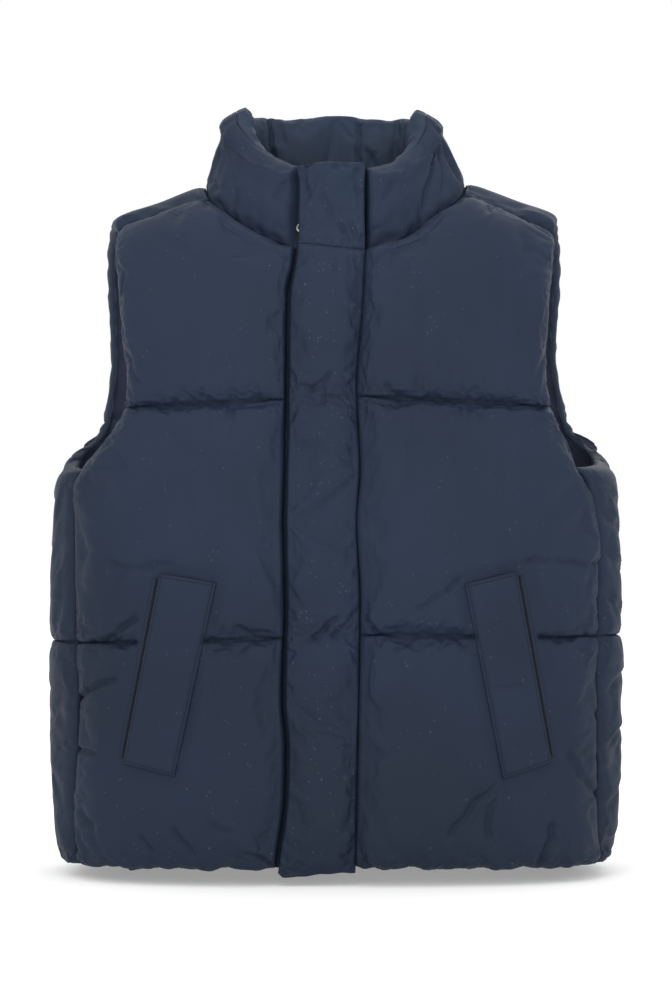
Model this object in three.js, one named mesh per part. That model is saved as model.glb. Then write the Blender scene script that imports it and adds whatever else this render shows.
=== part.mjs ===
// A padded sleeveless jacket, filled out as if worn: two quilted fronts, one quilted back that
// wraps forward at the sides and over the shoulders, a padded stand collar, a storm flap over the
// front opening and two slanted welt pockets.
// Millimetres, +Z up, the front faces -Y. The origin is the middle of the neck's base.

import * as THREE from 'three';

// ---------------------------------------------------------------- driving dimensions, mm

const SEAM_WALL = 4;          // a padded wall where it is stitched flat
const SEAM_GAP = 0.25;        // each piece stops this far short of a seam
const LAY_GAP = 0.5;          // clearance under a piece that lies on another
const PUFF = 20;              // swelling of a channel beyond its stitched wall
const SHOULDER_PUFF = 4;      // the same over the shoulders, where the cloth is pulled flat
const HEM_WALL = 8;           // wall at the turned hem
const NECK_HALF = 108;        // half of the neck's width at the shoulder line
const RIDGE_TOP = -0.5;       // inner side of the shoulder line at the neck
const RIDGE_ROUND = 12;       // how softly the shoulder line bends there
const SHOULDER_FALL = 0.415;  // fall of the shoulder line for each mm outward
const SHOULDER_TILT = 0.012;  // the wearer's left shoulder sits a little higher
const CAP_FRONT = 150;        // drop over which the chest rounds forward from the shoulder line
const CAP_BACK = 90;          // drop over which the upper back rounds out
const CAP_LENGTHENING = 40;   // how much longer the cloth over either rounding is than its drop
const RING_POWER = 2.8;       // how square a level section through the body is
const LEVEL_FROM = 260;       // drop below which the shoulders' fall no longer shows
const COLLAR_RISE = 76;       // collar, seam to rim
const COLLAR_PUFF = 15;       // swelling of the collar's outer side
const COLLAR_LINING_PUFF = 9; // and of its inner side
const RIM_WALL = 3;           // each side of the collar at its rim
const FLAP_PUFF = 9;          // swelling of the storm flap
const FLAP_EDGE = 3.6;        // wall at the flap's edges
const FLAP_LIFT = 3;          // how far the flap's free edge stands off
const FLAP_DROP = 10;         // the flap's free edge hangs this far below the hem
const FLAP_SLOPE = 5;         // and its seam this much less
const FLAP_MARGIN = 3;        // flat cloth left beside the flap's free edge
const BRIDGE_FROM = 14;       // round a welt the padding bridges the waist line this far out
const BRIDGE_TO = 32;         // and no longer from here
const GATHER_SHARE = 0.18;    // share of the lowest channel over which the hem's gathers show
const WELT_WALL = 2.6;
const FACING_WALL = 1.2;
const FACING_WIDTH = 9;
const SNAP_RADIUS = 5;
const SNAP_HEIGHT = 1.6;
const SNAP_RISE = 15;         // height of the snap over the collar seam
const SNAP_SHOWING = 1.5;     // width of it that the flap leaves bare

// How far in from each kind of line the padding takes to reach its full height.
const ROUND = { side: 52, armhole: 40, channel: 62, flap: 46, neck: 44, shoulder: 30, hem: 26, hemEnd: 12 };

// Where a row of cloth lies, from 0 at the hem up to 3 at the shoulder seam.
const HEM = 0;
const WAIST_LINE = 1;
const UNDERARM = 1.62;
const CHEST_LINE = 2;
const NECK_CORNER = 2.45;
const SHOULDER = 3;

const CHANNEL_STEPS = [0, 0.03, 0.09, 0.18, 0.3, 0.45, 0.62, 0.78, 0.9, 0.97];
const YOKE_STEPS = [0, 0.03, 0.08, 0.15, 0.24, 0.34, 0.45, 0.55, 0.65, 0.75, 0.84, 0.91, 0.96, 1];
const ROWS = [
  ...CHANNEL_STEPS,
  ...CHANNEL_STEPS.map((step) => WAIST_LINE + step),
  ...YOKE_STEPS.map((step) => CHEST_LINE + step),
];

// Columns of cloth, as shares of the way across a piece.
const FLAPPED_STEPS = [0, 0.12, 0.235, 0.25, 0.28, 0.33, 0.39, 0.46, 0.54, 0.62, 0.7, 0.78, 0.85,
  0.9, 0.94, 0.97, 0.99, 1];
const UNDER_FLAP = 0.235;
const OPEN_STEPS = [0, 0.015, 0.045, 0.09, 0.15, 0.22, 0.3, 0.38, 0.46, 0.54, 0.62, 0.7, 0.78,
  0.85, 0.9, 0.94, 0.975, 1];
const HALF_YOKE_STEPS = [0, 0.008, 0.02, 0.036, 0.053, 0.07, 0.1, 0.135, 0.16, 0.19, 0.23, 0.27, 0.32,
  0.375, 0.435];
const YOKE_STEPS_ACROSS = [...HALF_YOKE_STEPS, 0.5, ...HALF_YOKE_STEPS.map((step) => 1 - step).reverse()];
const SHOULDER_SHARE = 0.07;  // share of the back, at each side, that ends at the shoulder seam
const SIDE_SHARE = 0.165;     // share of the back, at each side, that ends at the underarm
const SIDE_STEPS = [0, 0.008, 0.02, 0.04, 0.065, 0.095, 0.13];
const BACK_STEPS = [
  ...SIDE_STEPS,
  ...YOKE_STEPS_ACROSS.map((step) => SIDE_SHARE + (1 - 2 * SIDE_SHARE) * step),
  ...SIDE_STEPS.map((step) => 1 - step).reverse(),
];

// ---------------------------------------------------------------- tables

// The inner side of the body at each drop below the shoulder line.
const BODY = [
  { drop: 0, halfWidth: 228, front: 97, back: 90 },
  { drop: 100, halfWidth: 233, front: 100, back: 92 },
  { drop: 200, halfWidth: 236, front: 102, back: 94 },
  { drop: 264, halfWidth: 236, front: 102, back: 94 },
  { drop: 345, halfWidth: 239, front: 102, back: 93 },
  { drop: 418, halfWidth: 241, front: 101, back: 92 },
  { drop: 510, halfWidth: 240, front: 101, back: 92 },
  { drop: 584, halfWidth: 236, front: 98, back: 90 },
  { drop: 640, halfWidth: 230, front: 93, back: 86 },
];

// Edges of the storm flap, seen from the front: its free edge and its seam.
const FLAP = [
  { z: -626, free: -50, seam: 16 },
  { z: -550, free: -46, seam: 18 },
  { z: -465, free: -45, seam: 20 },
  { z: -377, free: -42, seam: 21 },
  { z: -307, free: -43, seam: 18 },
  { z: -263, free: -42, seam: 21 },
  { z: -193, free: -41, seam: 18 },
  { z: -114, free: -40, seam: 24 },
  { z: -68, free: -34, seam: 26 },
  { z: -14, free: -36, seam: 25 },
  { z: 14, free: -38, seam: 28 },
];

// Side seams, seen from the front.
const SIDE_RIGHT = [
  { row: HEM, x: -231, z: -616 },
  { row: 0.3, x: -235, z: -556 },
  { row: 0.7, x: -232, z: -477 },
  { row: WAIST_LINE, x: -235, z: -417 },
  { row: 1.3, x: -235, z: -342 },
  { row: 1.5, x: -231, z: -292 },
  { row: UNDERARM, x: -225, z: -262 },
];
const SIDE_LEFT = [
  { row: HEM, x: 234, z: -616 },
  { row: 0.3, x: 232, z: -556 },
  { row: 0.7, x: 232, z: -474 },
  { row: WAIST_LINE, x: 233, z: -411 },
  { row: 1.3, x: 233, z: -338 },
  { row: 1.5, x: 224, z: -288 },
  { row: UNDERARM, x: 211, z: -260 },
];

// Front edges of the armholes, underarm to shoulder.
const ARMHOLE_FRONT_RIGHT = [
  { row: UNDERARM, x: -225, z: -262 },
  { row: 1.78, x: -206, z: -243 },
  { row: 1.9, x: -192, z: -224 },
  { row: CHEST_LINE, x: -184, z: -208 },
  { row: 2.15, x: -182, z: -186 },
  { row: NECK_CORNER, x: -186, z: -147 },
  { row: 2.75, x: -191, z: -96 },
  { row: SHOULDER, x: -197, z: -48 },
];
const ARMHOLE_FRONT_LEFT = [
  { row: UNDERARM, x: 211, z: -260 },
  { row: 1.78, x: 201, z: -241 },
  { row: 1.9, x: 193, z: -224 },
  { row: CHEST_LINE, x: 187, z: -207 },
  { row: 2.15, x: 183, z: -184 },
  { row: NECK_CORNER, x: 184, z: -145 },
  { row: 2.75, x: 188, z: -97 },
  { row: SHOULDER, x: 196, z: -52 },
];

// Collar seam on each front, flap seam to shoulder seam.
const NECKLINE_RIGHT = [
  { row: NECK_CORNER, x: 26, z: -68 },
  { row: 2.65, x: -40, z: -66 },
  { row: 2.75, x: -62, z: -57 },
  { row: 2.84, x: -84, z: -45 },
  { row: 2.93, x: -103, z: -31 },
  { row: SHOULDER, x: -114, z: -21 },
];
const NECKLINE_LEFT = [
  { row: NECK_CORNER, x: 26, z: -68 },
  { row: 2.65, x: 58, z: -59 },
  { row: 2.8, x: 82, z: -43 },
  { row: 2.92, x: 103, z: -28 },
  { row: SHOULDER, x: 114, z: -18 },
];

// The back's armhole edge from the underarm to the chest line: turn from straight sideways, in
// degrees, and height.
const ARMHOLE_SCOOP = [
  { row: UNDERARM, turn: 14, z: -254 },
  { row: 1.78, turn: 22, z: -248 },
  { row: 1.9, turn: 30, z: -236 },
  { row: 1.97, turn: 35, z: -223 },
  { row: CHEST_LINE, turn: 37, z: -214 },
];

// The same edge from the chest line up over the shoulder: x on either side, and reach behind the
// shoulder line.
const ARMHOLE_BACK = [
  { row: 2.05, left: 209, right: 210, reach: 232 },
  { row: 2.34, left: 206, right: 209, reach: 158 },
  { row: 2.6, left: 205, right: 208, reach: 85 },
  { row: 2.8, left: 203, right: 206, reach: 25 },
  { row: 2.91, left: 200, right: 203, reach: -12 },
  { row: SHOULDER, left: 196, right: 197, reach: -45 },
];

// Heights of the rows at the flap's seam, and at the middle of the back.
const FRONT_MIDDLE = [
  { row: HEM, z: -613 },
  { row: WAIST_LINE, z: -408 },
  { row: CHEST_LINE, z: -198 },
  { row: NECK_CORNER, z: -68 },
];
const BACK_MIDDLE = [
  { row: HEM, z: -616 },
  { row: WAIST_LINE, z: -412 },
  { row: UNDERARM, z: -243 },
  { row: CHEST_LINE, z: -205 },
];

// The back's neckline, shoulder seam to middle: x, and reach behind the shoulder line.
const NECKLINE_BACK = [
  { share: SHOULDER_SHARE, x: 114, reach: -58 },
  { share: 0.1, x: 118, reach: -28 },
  { share: 0.135, x: 118, reach: 2 },
  { share: 0.19, x: 108, reach: 30 },
  { share: 0.27, x: 82, reach: 51 },
  { share: 0.375, x: 43, reach: 61 },
  { share: 0.5, x: 0, reach: 64 },
];

// How the collar stands, by turn round the neck in degrees, 0 at the wearer's left side and
// -90 in front: lean of its middle and of its rim from the seam, and extra height.
const COLLAR = [
  { turn: -110, middle: -6, rim: -16, extra: 0 },
  { turn: -90, middle: -6, rim: -16, extra: 0 },
  { turn: -50, middle: -16, rim: -22, extra: -4 },
  { turn: -20, middle: -25, rim: -32, extra: -10 },
  { turn: 10, middle: -25, rim: -32, extra: -10 },
  { turn: 50, middle: -12, rim: -10, extra: 6 },
  { turn: 90, middle: -8, rim: -4, extra: 16 },
  { turn: 130, middle: -10, rim: -6, extra: 8 },
  { turn: 170, middle: -17, rim: -18, extra: -9 },
  { turn: 200, middle: -17, rim: -18, extra: -10 },
  { turn: 230, middle: -13, rim: -19, extra: -4 },
  { turn: 270, middle: -6, rim: -16, extra: 0 },
  { turn: 290, middle: -6, rim: -16, extra: 0 },
];
const COLLAR_STEPS = [0, 0.07, 0.2, 0.38, 0.57, 0.76, 0.9, 0.97, 1];

// Corners of the welts, seen from the front: outer long edge first.
const WELT_RIGHT = {
  outerTop: [-155, -354], innerTop: [-105, -362], innerFoot: [-142, -533], outerFoot: [-188, -522],
};
const WELT_LEFT = {
  outerTop: [159, -352], innerTop: [113, -363], innerFoot: [147, -535], outerFoot: [190, -521],
};

// The largest creases, seen from the front.
const FRONT_RIGHT_CREASES = [
  { fromX: -200, fromZ: -413, toX: -168, toZ: -390, width: 12, depth: 4 },
  { fromX: -194, fromZ: -346, toX: -142, toZ: -346, width: 11, depth: 3 },
  { fromX: -142, fromZ: -576, toX: -122, toZ: -602, width: 12, depth: 4 },
  { fromX: -88, fromZ: -398, toX: -74, toZ: -408, width: 11, depth: 4 },
  { fromX: -184, fromZ: -112, toX: -172, toZ: -98, width: 12, depth: 4 },
  { fromX: -78, fromZ: -592, toX: -54, toZ: -606, width: 12, depth: 4 },
];
const FRONT_LEFT_CREASES = [
  { fromX: 106, fromZ: -360, toX: 70, toZ: -390, width: 11, depth: 4 },
  { fromX: 140, fromZ: -535, toX: 96, toZ: -584, width: 12, depth: 4 },
  { fromX: 132, fromZ: -540, toX: 130, toZ: -586, width: 11, depth: 3 },
  { fromX: 184, fromZ: -578, toX: 172, toZ: -608, width: 12, depth: 6 },
  { fromX: 196, fromZ: -512, toX: 228, toZ: -556, width: 12, depth: 4 },
  { fromX: 22, fromZ: -388, toX: 40, toZ: -407, width: 11, depth: 4 },
  { fromX: 160, fromZ: -342, toX: 232, toZ: -342, width: 12, depth: 3 },
  { fromX: 42, fromZ: -186, toX: 56, toZ: -198, width: 11, depth: 4 },
];

// Creases of the back, by distance round the body from straight left, and height.
const BACK_CREASES = [
  { fromX: -60, fromZ: -300, toX: 20, toZ: -350, width: 16, depth: 5 },
  { fromX: -60, fromZ: -352, toX: 14, toZ: -400, width: 15, depth: 4 },
  { fromX: -52, fromZ: -470, toX: 20, toZ: -430, width: 15, depth: 5 },
  { fromX: -40, fromZ: -560, toX: 26, toZ: -520, width: 16, depth: 4 },
  { fromX: 180, fromZ: -250, toX: 250, toZ: -214, width: 16, depth: 4 },
  { fromX: 420, fromZ: -396, toX: 480, toZ: -356, width: 16, depth: 4 },
  { fromX: 300, fromZ: -424, toX: 340, toZ: -470, width: 16, depth: 4 },
  { fromX: 560, fromZ: -590, toX: 590, toZ: -545, width: 16, depth: 4 },
  { fromX: 700, fromZ: -350, toX: 782, toZ: -300, width: 16, depth: 5 },
  { fromX: 706, fromZ: -400, toX: 780, toZ: -440, width: 15, depth: 4 },
  { fromX: 700, fromZ: -520, toX: 776, toZ: -480, width: 16, depth: 5 },
];

// Folds of the collar, by distance round the neck from straight left, and height over the seam.
const COLLAR_CREASES = [
  { fromX: -60, fromZ: 6, toX: -28, toZ: 44, width: 9, depth: 4 },
  { fromX: -20, fromZ: 4, toX: -2, toZ: 58, width: 9, depth: 4 },
  { fromX: -104, fromZ: 20, toX: -80, toZ: 52, width: 9, depth: 3 },
  { fromX: 312, fromZ: 4, toX: 290, toZ: 52, width: 9, depth: 4 },
  { fromX: 362, fromZ: 8, toX: 340, toZ: 46, width: 9, depth: 3 },
];
const COLLAR_LINING_CREASES = [
  { fromX: 92, fromZ: 0, toX: 96, toZ: 86, width: 8, depth: 5 },
  { fromX: 262, fromZ: 4, toX: 250, toZ: 86, width: 8, depth: 4 },
  { fromX: 176, fromZ: 10, toX: 160, toZ: 70, width: 9, depth: 3 },
];

// ---------------------------------------------------------------- curves and small helpers

const UP = new THREE.Vector3(0, 0, 1);
const STRAIGHT_AHEAD = new THREE.Vector3(0, -1, 0);
const mix = THREE.MathUtils.lerp;
const clamp = THREE.MathUtils.clamp;
const radians = THREE.MathUtils.degToRad;

// A smooth curve through a table: its other columns as a function of the key column.
function curveThrough(table, key) {
  const rows = [...table].sort((a, b) => a[key] - b[key]);
  const columns = Object.keys(rows[0]).filter((name) => name !== key);
  const rise = (i, name) => (rows[i + 1][name] - rows[i][name]) / (rows[i + 1][key] - rows[i][key]);
  const slope = (i, name) => {
    const before = rise(Math.max(i - 1, 0), name);
    const after = rise(Math.min(i, rows.length - 2), name);
    return before * after <= 0 ? 0 : (2 * before * after) / (before + after);
  };
  return (at) => {
    const value = clamp(at, rows[0][key], rows[rows.length - 1][key]);
    let i = 0;
    while (i < rows.length - 2 && value > rows[i + 1][key]) i += 1;
    const span = rows[i + 1][key] - rows[i][key];
    const t = (value - rows[i][key]) / span;
    const found = {};
    for (const name of columns) {
      found[name] = (2 * t ** 3 - 3 * t ** 2 + 1) * rows[i][name]
        + (t ** 3 - 2 * t ** 2 + t) * span * slope(i, name)
        + (3 * t ** 2 - 2 * t ** 3) * rows[i + 1][name]
        + (t ** 3 - t ** 2) * span * slope(i + 1, name);
    }
    return found;
  };
}

// Straight lines through a table of heights by row; the first and last lines run on.
function heightsThrough(table) {
  return (row) => {
    const after = table.findIndex((line) => line.row >= row);
    const i = clamp(after, 1, table.length - 1);
    const [low, high] = [table[i - 1], table[i]];
    return mix(low.z, high.z, (row - low.row) / (high.row - low.row));
  };
}

// Height of padding beside a stitched line: steep at the line, level at the given radius.
function dome(distance, radius) {
  const t = clamp(1 - distance / radius, 0, 1);
  return Math.sqrt(1 - t * t);
}

// The same with a gentle foot, for lines where two pieces meet at an angle.
function slopeUp(distance, radius) {
  const t = clamp(1 - distance / radius, 0, 1);
  return 1 - t * t;
}

// Distance in a plane from (x, z) to a straight stretch.
function distanceToStretch(x, z, fromX, fromZ, toX, toZ) {
  const alongX = toX - fromX;
  const alongZ = toZ - fromZ;
  const t = ((x - fromX) * alongX + (z - fromZ) * alongZ) / (alongX ** 2 + alongZ ** 2);
  const near = clamp(t, 0, 1);
  return Math.hypot(x - fromX - near * alongX, z - fromZ - near * alongZ);
}

function creaseDepth(creases, x, z) {
  let depth = 0;
  for (const crease of creases) {
    const away = distanceToStretch(x, z, crease.fromX, crease.fromZ, crease.toX, crease.toZ);
    depth += crease.depth * Math.exp(-((away / crease.width) ** 2));
  }
  return depth;
}

// Distance from a point to a line of points.
function distanceToLine(point, line) {
  const nearest = new THREE.Vector3();
  const stretch = new THREE.Line3();
  let least = Infinity;
  for (let i = 1; i < line.length; i += 1) {
    stretch.set(line[i - 1], line[i]).closestPointToPoint(point, true, nearest);
    least = Math.min(least, nearest.distanceTo(point));
  }
  return least;
}

// ---------------------------------------------------------------- the body's form

const body = curveThrough(BODY, 'drop');
const flap = curveThrough(FLAP, 'z');
const AIM_STEPS = 6;
const frontHeight = heightsThrough(FRONT_MIDDLE);
const backHeight = heightsThrough(BACK_MIDDLE);

function ridge(x) {
  const past = Math.abs(x) - NECK_HALF;
  const rounded = 0.5 * (past + Math.hypot(past, RIDGE_ROUND));
  return RIDGE_TOP - SHOULDER_FALL * rounded + SHOULDER_TILT * x;
}

// Height of the point at x that lies the given drop below the shoulder line.
function heightAt(x, drop) {
  const share = THREE.MathUtils.smoothstep(drop, LEVEL_FROM / 3, LEVEL_FROM);
  return ridge(x) * (1 - share) - drop;
}

// Radius of a level section of unit width and depth.
function ringRadius(turn) {
  const cos = Math.abs(Math.cos(turn)) ** RING_POWER;
  const sin = Math.abs(Math.sin(turn)) ** RING_POWER;
  return (cos + sin) ** (-1 / RING_POWER);
}

// A point on the inner side of the body. The turn is 0 straight left of the wearer, -90 degrees
// in front and 90 behind; the reach is the cloth's length down from the shoulder line. A negative
// reach, for cloth from behind, passes over the shoulder line to the front.
function torso(turn, reach) {
  if (reach < 0) return torso(-turn, -reach);
  const behind = Math.sin(turn) > 0;
  const cap = behind ? CAP_BACK : CAP_FRONT;
  const bend = Math.min(reach / (cap + CAP_LENGTHENING), 1) * (Math.PI / 2);
  const drop = dropOfReach(reach, cap);
  const size = body(drop);
  const depth = behind ? size.back : size.front;
  const x = size.halfWidth * ringRadius(turn) * Math.cos(turn);
  const y = depth * ringRadius(turn) * Math.sin(turn) * Math.sin(bend);
  return new THREE.Vector3(x, y, heightAt(x, drop));
}

function torsoNormal(turn, reach) {
  const turnStep = 0.004;
  const reachStep = 0.6;
  const across = torso(turn + turnStep, reach).sub(torso(turn - turnStep, reach));
  const down = torso(turn, reach + reachStep).sub(torso(turn, reach - reachStep));
  return down.cross(across).normalize();
}

// The drop at which the body's height falls to z, where x may depend on the drop.
function dropTo(z, xAt) {
  let high = 0;
  let low = 800;
  for (let i = 0; i < 40; i += 1) {
    const middle = (high + low) / 2;
    if (heightAt(xAt(middle), middle) > z) high = middle;
    else low = middle;
  }
  return (high + low) / 2;
}

function dropOfReach(reach, cap) {
  const bend = Math.min(reach / (cap + CAP_LENGTHENING), 1) * (Math.PI / 2);
  return cap * (1 - Math.cos(bend)) + Math.max(0, reach - cap - CAP_LENGTHENING);
}

function reachOfDrop(drop, cap) {
  if (drop >= cap) return drop + CAP_LENGTHENING;
  return (Math.acos(1 - drop / cap) / (Math.PI / 2)) * (cap + CAP_LENGTHENING);
}

function turnOf(x, drop) {
  const across = clamp(x / body(drop).halfWidth, -0.999, 0.999);
  const deep = (1 - Math.abs(across) ** RING_POWER) ** (1 / RING_POWER);
  return Math.atan2(deep, across);
}

// Where a point seen from the front at (x, z) lies on the body.
function frontPlace(x, z) {
  const drop = dropTo(z, () => x);
  return { turn: -turnOf(x, drop), reach: reachOfDrop(drop, CAP_FRONT) };
}

// The reach at which cloth at the given turn comes down to z.
function reachTo(turn, z) {
  const across = ringRadius(turn) * Math.cos(turn);
  const drop = dropTo(z, (at) => across * body(at).halfWidth);
  return reachOfDrop(drop, Math.sin(turn) > 0 ? CAP_BACK : CAP_FRONT);
}

// The body's place over which something lifted off it is seen from the front at (x, z).
function placeUnder(x, z, liftAt) {
  const aim = { x, z };
  let found = null;
  for (let i = 0; i < AIM_STEPS; i += 1) {
    const place = frontPlace(aim.x, aim.z);
    const point = torso(place.turn, place.reach);
    const normal = torsoNormal(place.turn, place.reach);
    const lift = liftAt(point);
    aim.x += x - point.x - normal.x * lift;
    aim.z += z - point.z - normal.z * lift;
    found = { point, normal, lift };
  }
  return found;
}

// A sheet of cloth on the body: its points, its outward directions and its places.
function layOnBody(rows, columns, placeAt) {
  const sheet = { places: [], points: [], normals: [] };
  for (const row of rows) {
    const places = columns.map((column) => placeAt(row, column));
    sheet.places.push(places);
    sheet.points.push(places.map(({ turn, reach }) => torso(turn, reach)));
    sheet.normals.push(places.map(({ turn, reach }) => torsoNormal(turn, reach)));
  }
  return sheet;
}

// Draws each edge of a sheet back from its seam, towards the next row or column inward.
function drawBack(sheet) {
  const { points } = sheet;
  const lastRow = points.length - 1;
  const lastColumn = points[0].length - 1;
  for (const row of points) {
    pull(row[0], row[1]);
    pull(row[lastColumn], row[lastColumn - 1]);
  }
  for (let column = 0; column <= lastColumn; column += 1) {
    pull(points[0][column], points[1][column]);
    pull(points[lastRow][column], points[lastRow - 1][column]);
  }
}

function pull(point, towards) {
  point.add(towards.clone().sub(point).setLength(SEAM_GAP));
}

// ---------------------------------------------------------------- solids

const CELL_TURN = 1.1;  // a cell is split the other way once that is shorter by more than this

// A closed wall between two sheets of points with the same rows and columns, over the cells that
// the piece covers. The guide is the sheet whose cells decide which way each is split.
function wall(inner, outer, { covers = () => true, guide = inner } = {}) {
  const rowCount = inner.length;
  const columnCount = inner[0].length;
  const corners = [...inner.flat(), ...outer.flat()];
  const at = (side, row, column) => (side * rowCount + row) * columnCount + column;
  const isCovered = (row, column) => row >= 0 && column >= 0 && row < rowCount - 1
    && column < columnCount - 1 && covers(row, column);
  const isTurned = (row, column) => {
    const rising = guide[row][column].distanceTo(guide[row + 1][column + 1]);
    const falling = guide[row + 1][column].distanceTo(guide[row][column + 1]);
    return rising > CELL_TURN * falling;
  };
  const faces = [];
  const quad = (a, b, c, d) => faces.push(a, b, c, a, c, d);
  const edge = (fromRow, fromColumn, toRow, toColumn) => quad(
    at(0, fromRow, fromColumn), at(0, toRow, toColumn),
    at(1, toRow, toColumn), at(1, fromRow, fromColumn));
  for (let row = 0; row < rowCount - 1; row += 1) {
    for (let column = 0; column < columnCount - 1; column += 1) {
      if (!isCovered(row, column)) continue;
      const ring = [[row, column], [row, column + 1], [row + 1, column + 1], [row + 1, column]];
      if (isTurned(row, column)) ring.push(ring.shift());
      const [a, b, c, d] = ring;
      quad(...[a, b, c, d].map(([i, j]) => at(1, i, j)));
      quad(...[a, d, c, b].map(([i, j]) => at(0, i, j)));
      if (!isCovered(row - 1, column)) edge(row, column, row, column + 1);
      if (!isCovered(row, column + 1)) edge(row, column + 1, row + 1, column + 1);
      if (!isCovered(row + 1, column)) edge(row + 1, column + 1, row + 1, column);
      if (!isCovered(row, column - 1)) edge(row + 1, column, row, column);
    }
  }
  const across = corners[at(1, 1, 2)].clone().sub(corners[at(1, 1, 1)]);
  const up = corners[at(1, 2, 1)].clone().sub(corners[at(1, 1, 1)]);
  const out = corners[at(1, 1, 1)].clone().sub(corners[at(0, 1, 1)]);
  if (across.cross(up).dot(out) < 0) faces.reverse();
  const used = [...new Set(faces)].sort((a, b) => a - b);
  const place = new Map(used.map((corner, i) => [corner, i]));
  const geometry = new THREE.BufferGeometry();
  const flat = used.flatMap((corner) => corners[corner].toArray());
  geometry.setAttribute('position', new THREE.Float32BufferAttribute(flat, 3));
  geometry.setIndex(faces.map((corner) => place.get(corner)));
  geometry.computeVertexNormals();
  return geometry;
}

// A quilted wall: plain inside, swelling outside between its stitched lines.
function quiltedWall(sheet, thicknessAt, covers) {
  const outer = sheet.points.map((row, i) => row.map((point, j) => (
    point.clone().addScaledVector(sheet.normals[i][j], thicknessAt(point, sheet.places[i][j])))));
  return wall(sheet.points, outer, { covers });
}

// ---------------------------------------------------------------- the fronts

// Slow waves of the gathered hem, from two pitches that don't repeat together. They fade up the
// cloth and towards the side seam.
function gathers(along, row, fromSide) {
  const up = clamp(1 - row / GATHER_SHARE, 0, 1);
  const waves = 1.7 * Math.sin(along / 8.3) + 1.3 * Math.sin(along / 5.1 + 1.4);
  return up * up * clamp(fromSide / ROUND.hemEnd - 1, 0, 1) * waves;
}

// How far (x, z) is outside a welt's outline; negative inside it.
function outsideWelt(welt, x, z) {
  const corners = [welt.outerTop, welt.innerTop, welt.innerFoot, welt.outerFoot];
  const sign = Math.sign(welt.innerTop[0] - welt.outerTop[0]);
  return Math.max(...corners.map(([fromX, fromZ], i) => {
    const [toX, toZ] = corners[(i + 1) % corners.length];
    const side = (toX - fromX) * (z - fromZ) - (toZ - fromZ) * (x - fromX);
    return (side * sign) / Math.hypot(toX - fromX, toZ - fromZ);
  }));
}

// One front: edges by row, its columns, its welt and its creases.
function makeFront({ side, armhole, neckline, columns, underFlap, welt, creases }) {
  const sideCurve = curveThrough(side, 'row');
  const armholeCurve = curveThrough(armhole, 'row');
  const necklineCurve = curveThrough(neckline, 'row');
  const outerEdge = (row) => (row < UNDERARM ? sideCurve(row) : armholeCurve(row));
  const innerEdge = (row) => {
    if (row >= NECK_CORNER) return necklineCurve(row);
    const z = frontHeight(row);
    return { x: flap(z).seam, z };
  };
  const placeAt = (row, share) => {
    const from = innerEdge(row);
    const to = outerEdge(row);
    let x = mix(from.x, to.x, share);
    if (underFlap) {
      const covered = Math.min(flap(from.z).free, from.x - 2 * FLAP_MARGIN);
      if (share < UNDER_FLAP) x = mix(from.x, covered, share / UNDER_FLAP);
      else x = mix(covered, to.x, (share - UNDER_FLAP) / (1 - UNDER_FLAP));
    }
    const z = mix(from.z, to.z, (x - from.x) / (to.x - from.x));
    return frontPlace(x, z + gathers(x, row, Math.abs(to.x - x)));
  };
  const sheet = layOnBody(ROWS, columns, placeAt);
  drawBack(sheet);
  const { points } = sheet;
  const last = columns.length - 1;
  const column = (index, fromRow, toRow) => (
    points.slice(rowIndex(fromRow), rowIndex(toRow) + 1).map((row) => row[index]));
  const lines = {
    hem: points[0],
    waist: points[rowIndex(WAIST_LINE)],
    chest: points[rowIndex(CHEST_LINE)],
    shoulder: points[rowIndex(SHOULDER)],
    centre: column(0, HEM, NECK_CORNER),
    neckline: column(0, NECK_CORNER, SHOULDER),
    side: column(last, HEM, UNDERARM),
    armhole: column(last, UNDERARM, SHOULDER),
  };
  const thicknessAt = (point) => {
    const away = (line) => distanceToLine(point, line);
    const outside = outsideWelt(welt, point.x, point.z);
    const bridged = 1 - THREE.MathUtils.smoothstep(outside, BRIDGE_FROM, BRIDGE_TO);
    const fromCentre = underFlap ? flap(point.z).free - FLAP_MARGIN - point.x : away(lines.centre);
    const hem = dome(away(lines.hem), ROUND.hem);
    const swell = dome(fromCentre, ROUND.flap)
      * dome(away(lines.side), ROUND.side)
      * dome(away(lines.armhole), ROUND.armhole)
      * dome(away(lines.chest), ROUND.channel)
      * Math.max(bridged, dome(away(lines.waist), ROUND.channel))
      * slopeUp(away(lines.neckline), ROUND.neck)
      * slopeUp(away(lines.shoulder), ROUND.shoulder);
    const crease = creaseDepth(creases, point.x, point.z) * swell * (1 - bridged);
    const foot = SEAM_WALL + (HEM_WALL - SEAM_WALL) * (1 - hem) * dome(fromCentre, ROUND.hemEnd);
    return foot + PUFF * swell * hem - crease;
  };
  return { sheet, thicknessAt, geometry: quiltedWall(sheet, thicknessAt) };
}

const frontRight = makeFront({
  side: SIDE_RIGHT, armhole: ARMHOLE_FRONT_RIGHT, neckline: NECKLINE_RIGHT,
  columns: FLAPPED_STEPS, underFlap: true, welt: WELT_RIGHT, creases: FRONT_RIGHT_CREASES,
});
const frontLeft = makeFront({
  side: SIDE_LEFT, armhole: ARMHOLE_FRONT_LEFT, neckline: NECKLINE_LEFT,
  columns: OPEN_STEPS, underFlap: false, welt: WELT_LEFT, creases: FRONT_LEFT_CREASES,
});

// ---------------------------------------------------------------- the back

const BACK_ROUND = 240;       // distance round the body for each radian of turn
const SIDEWAYS_ROUND = 90;    // how far round each side the waist line stays half filled
const SIDEWAYS_FILL = 0.45;
const BACK_PUFF = PUFF - 1.4;
const BACK_SETTLES = 0.2;      // share from each side over which the rows come to the back's level
const YOKE_SETTLES = 0.12;
const SHOULDER_FLAT_FROM = -70;  // between these heights the padding thins towards the shoulders
const SHOULDER_FLAT_TO = -20;
const FULL_TURN = 2 * Math.PI;

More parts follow.
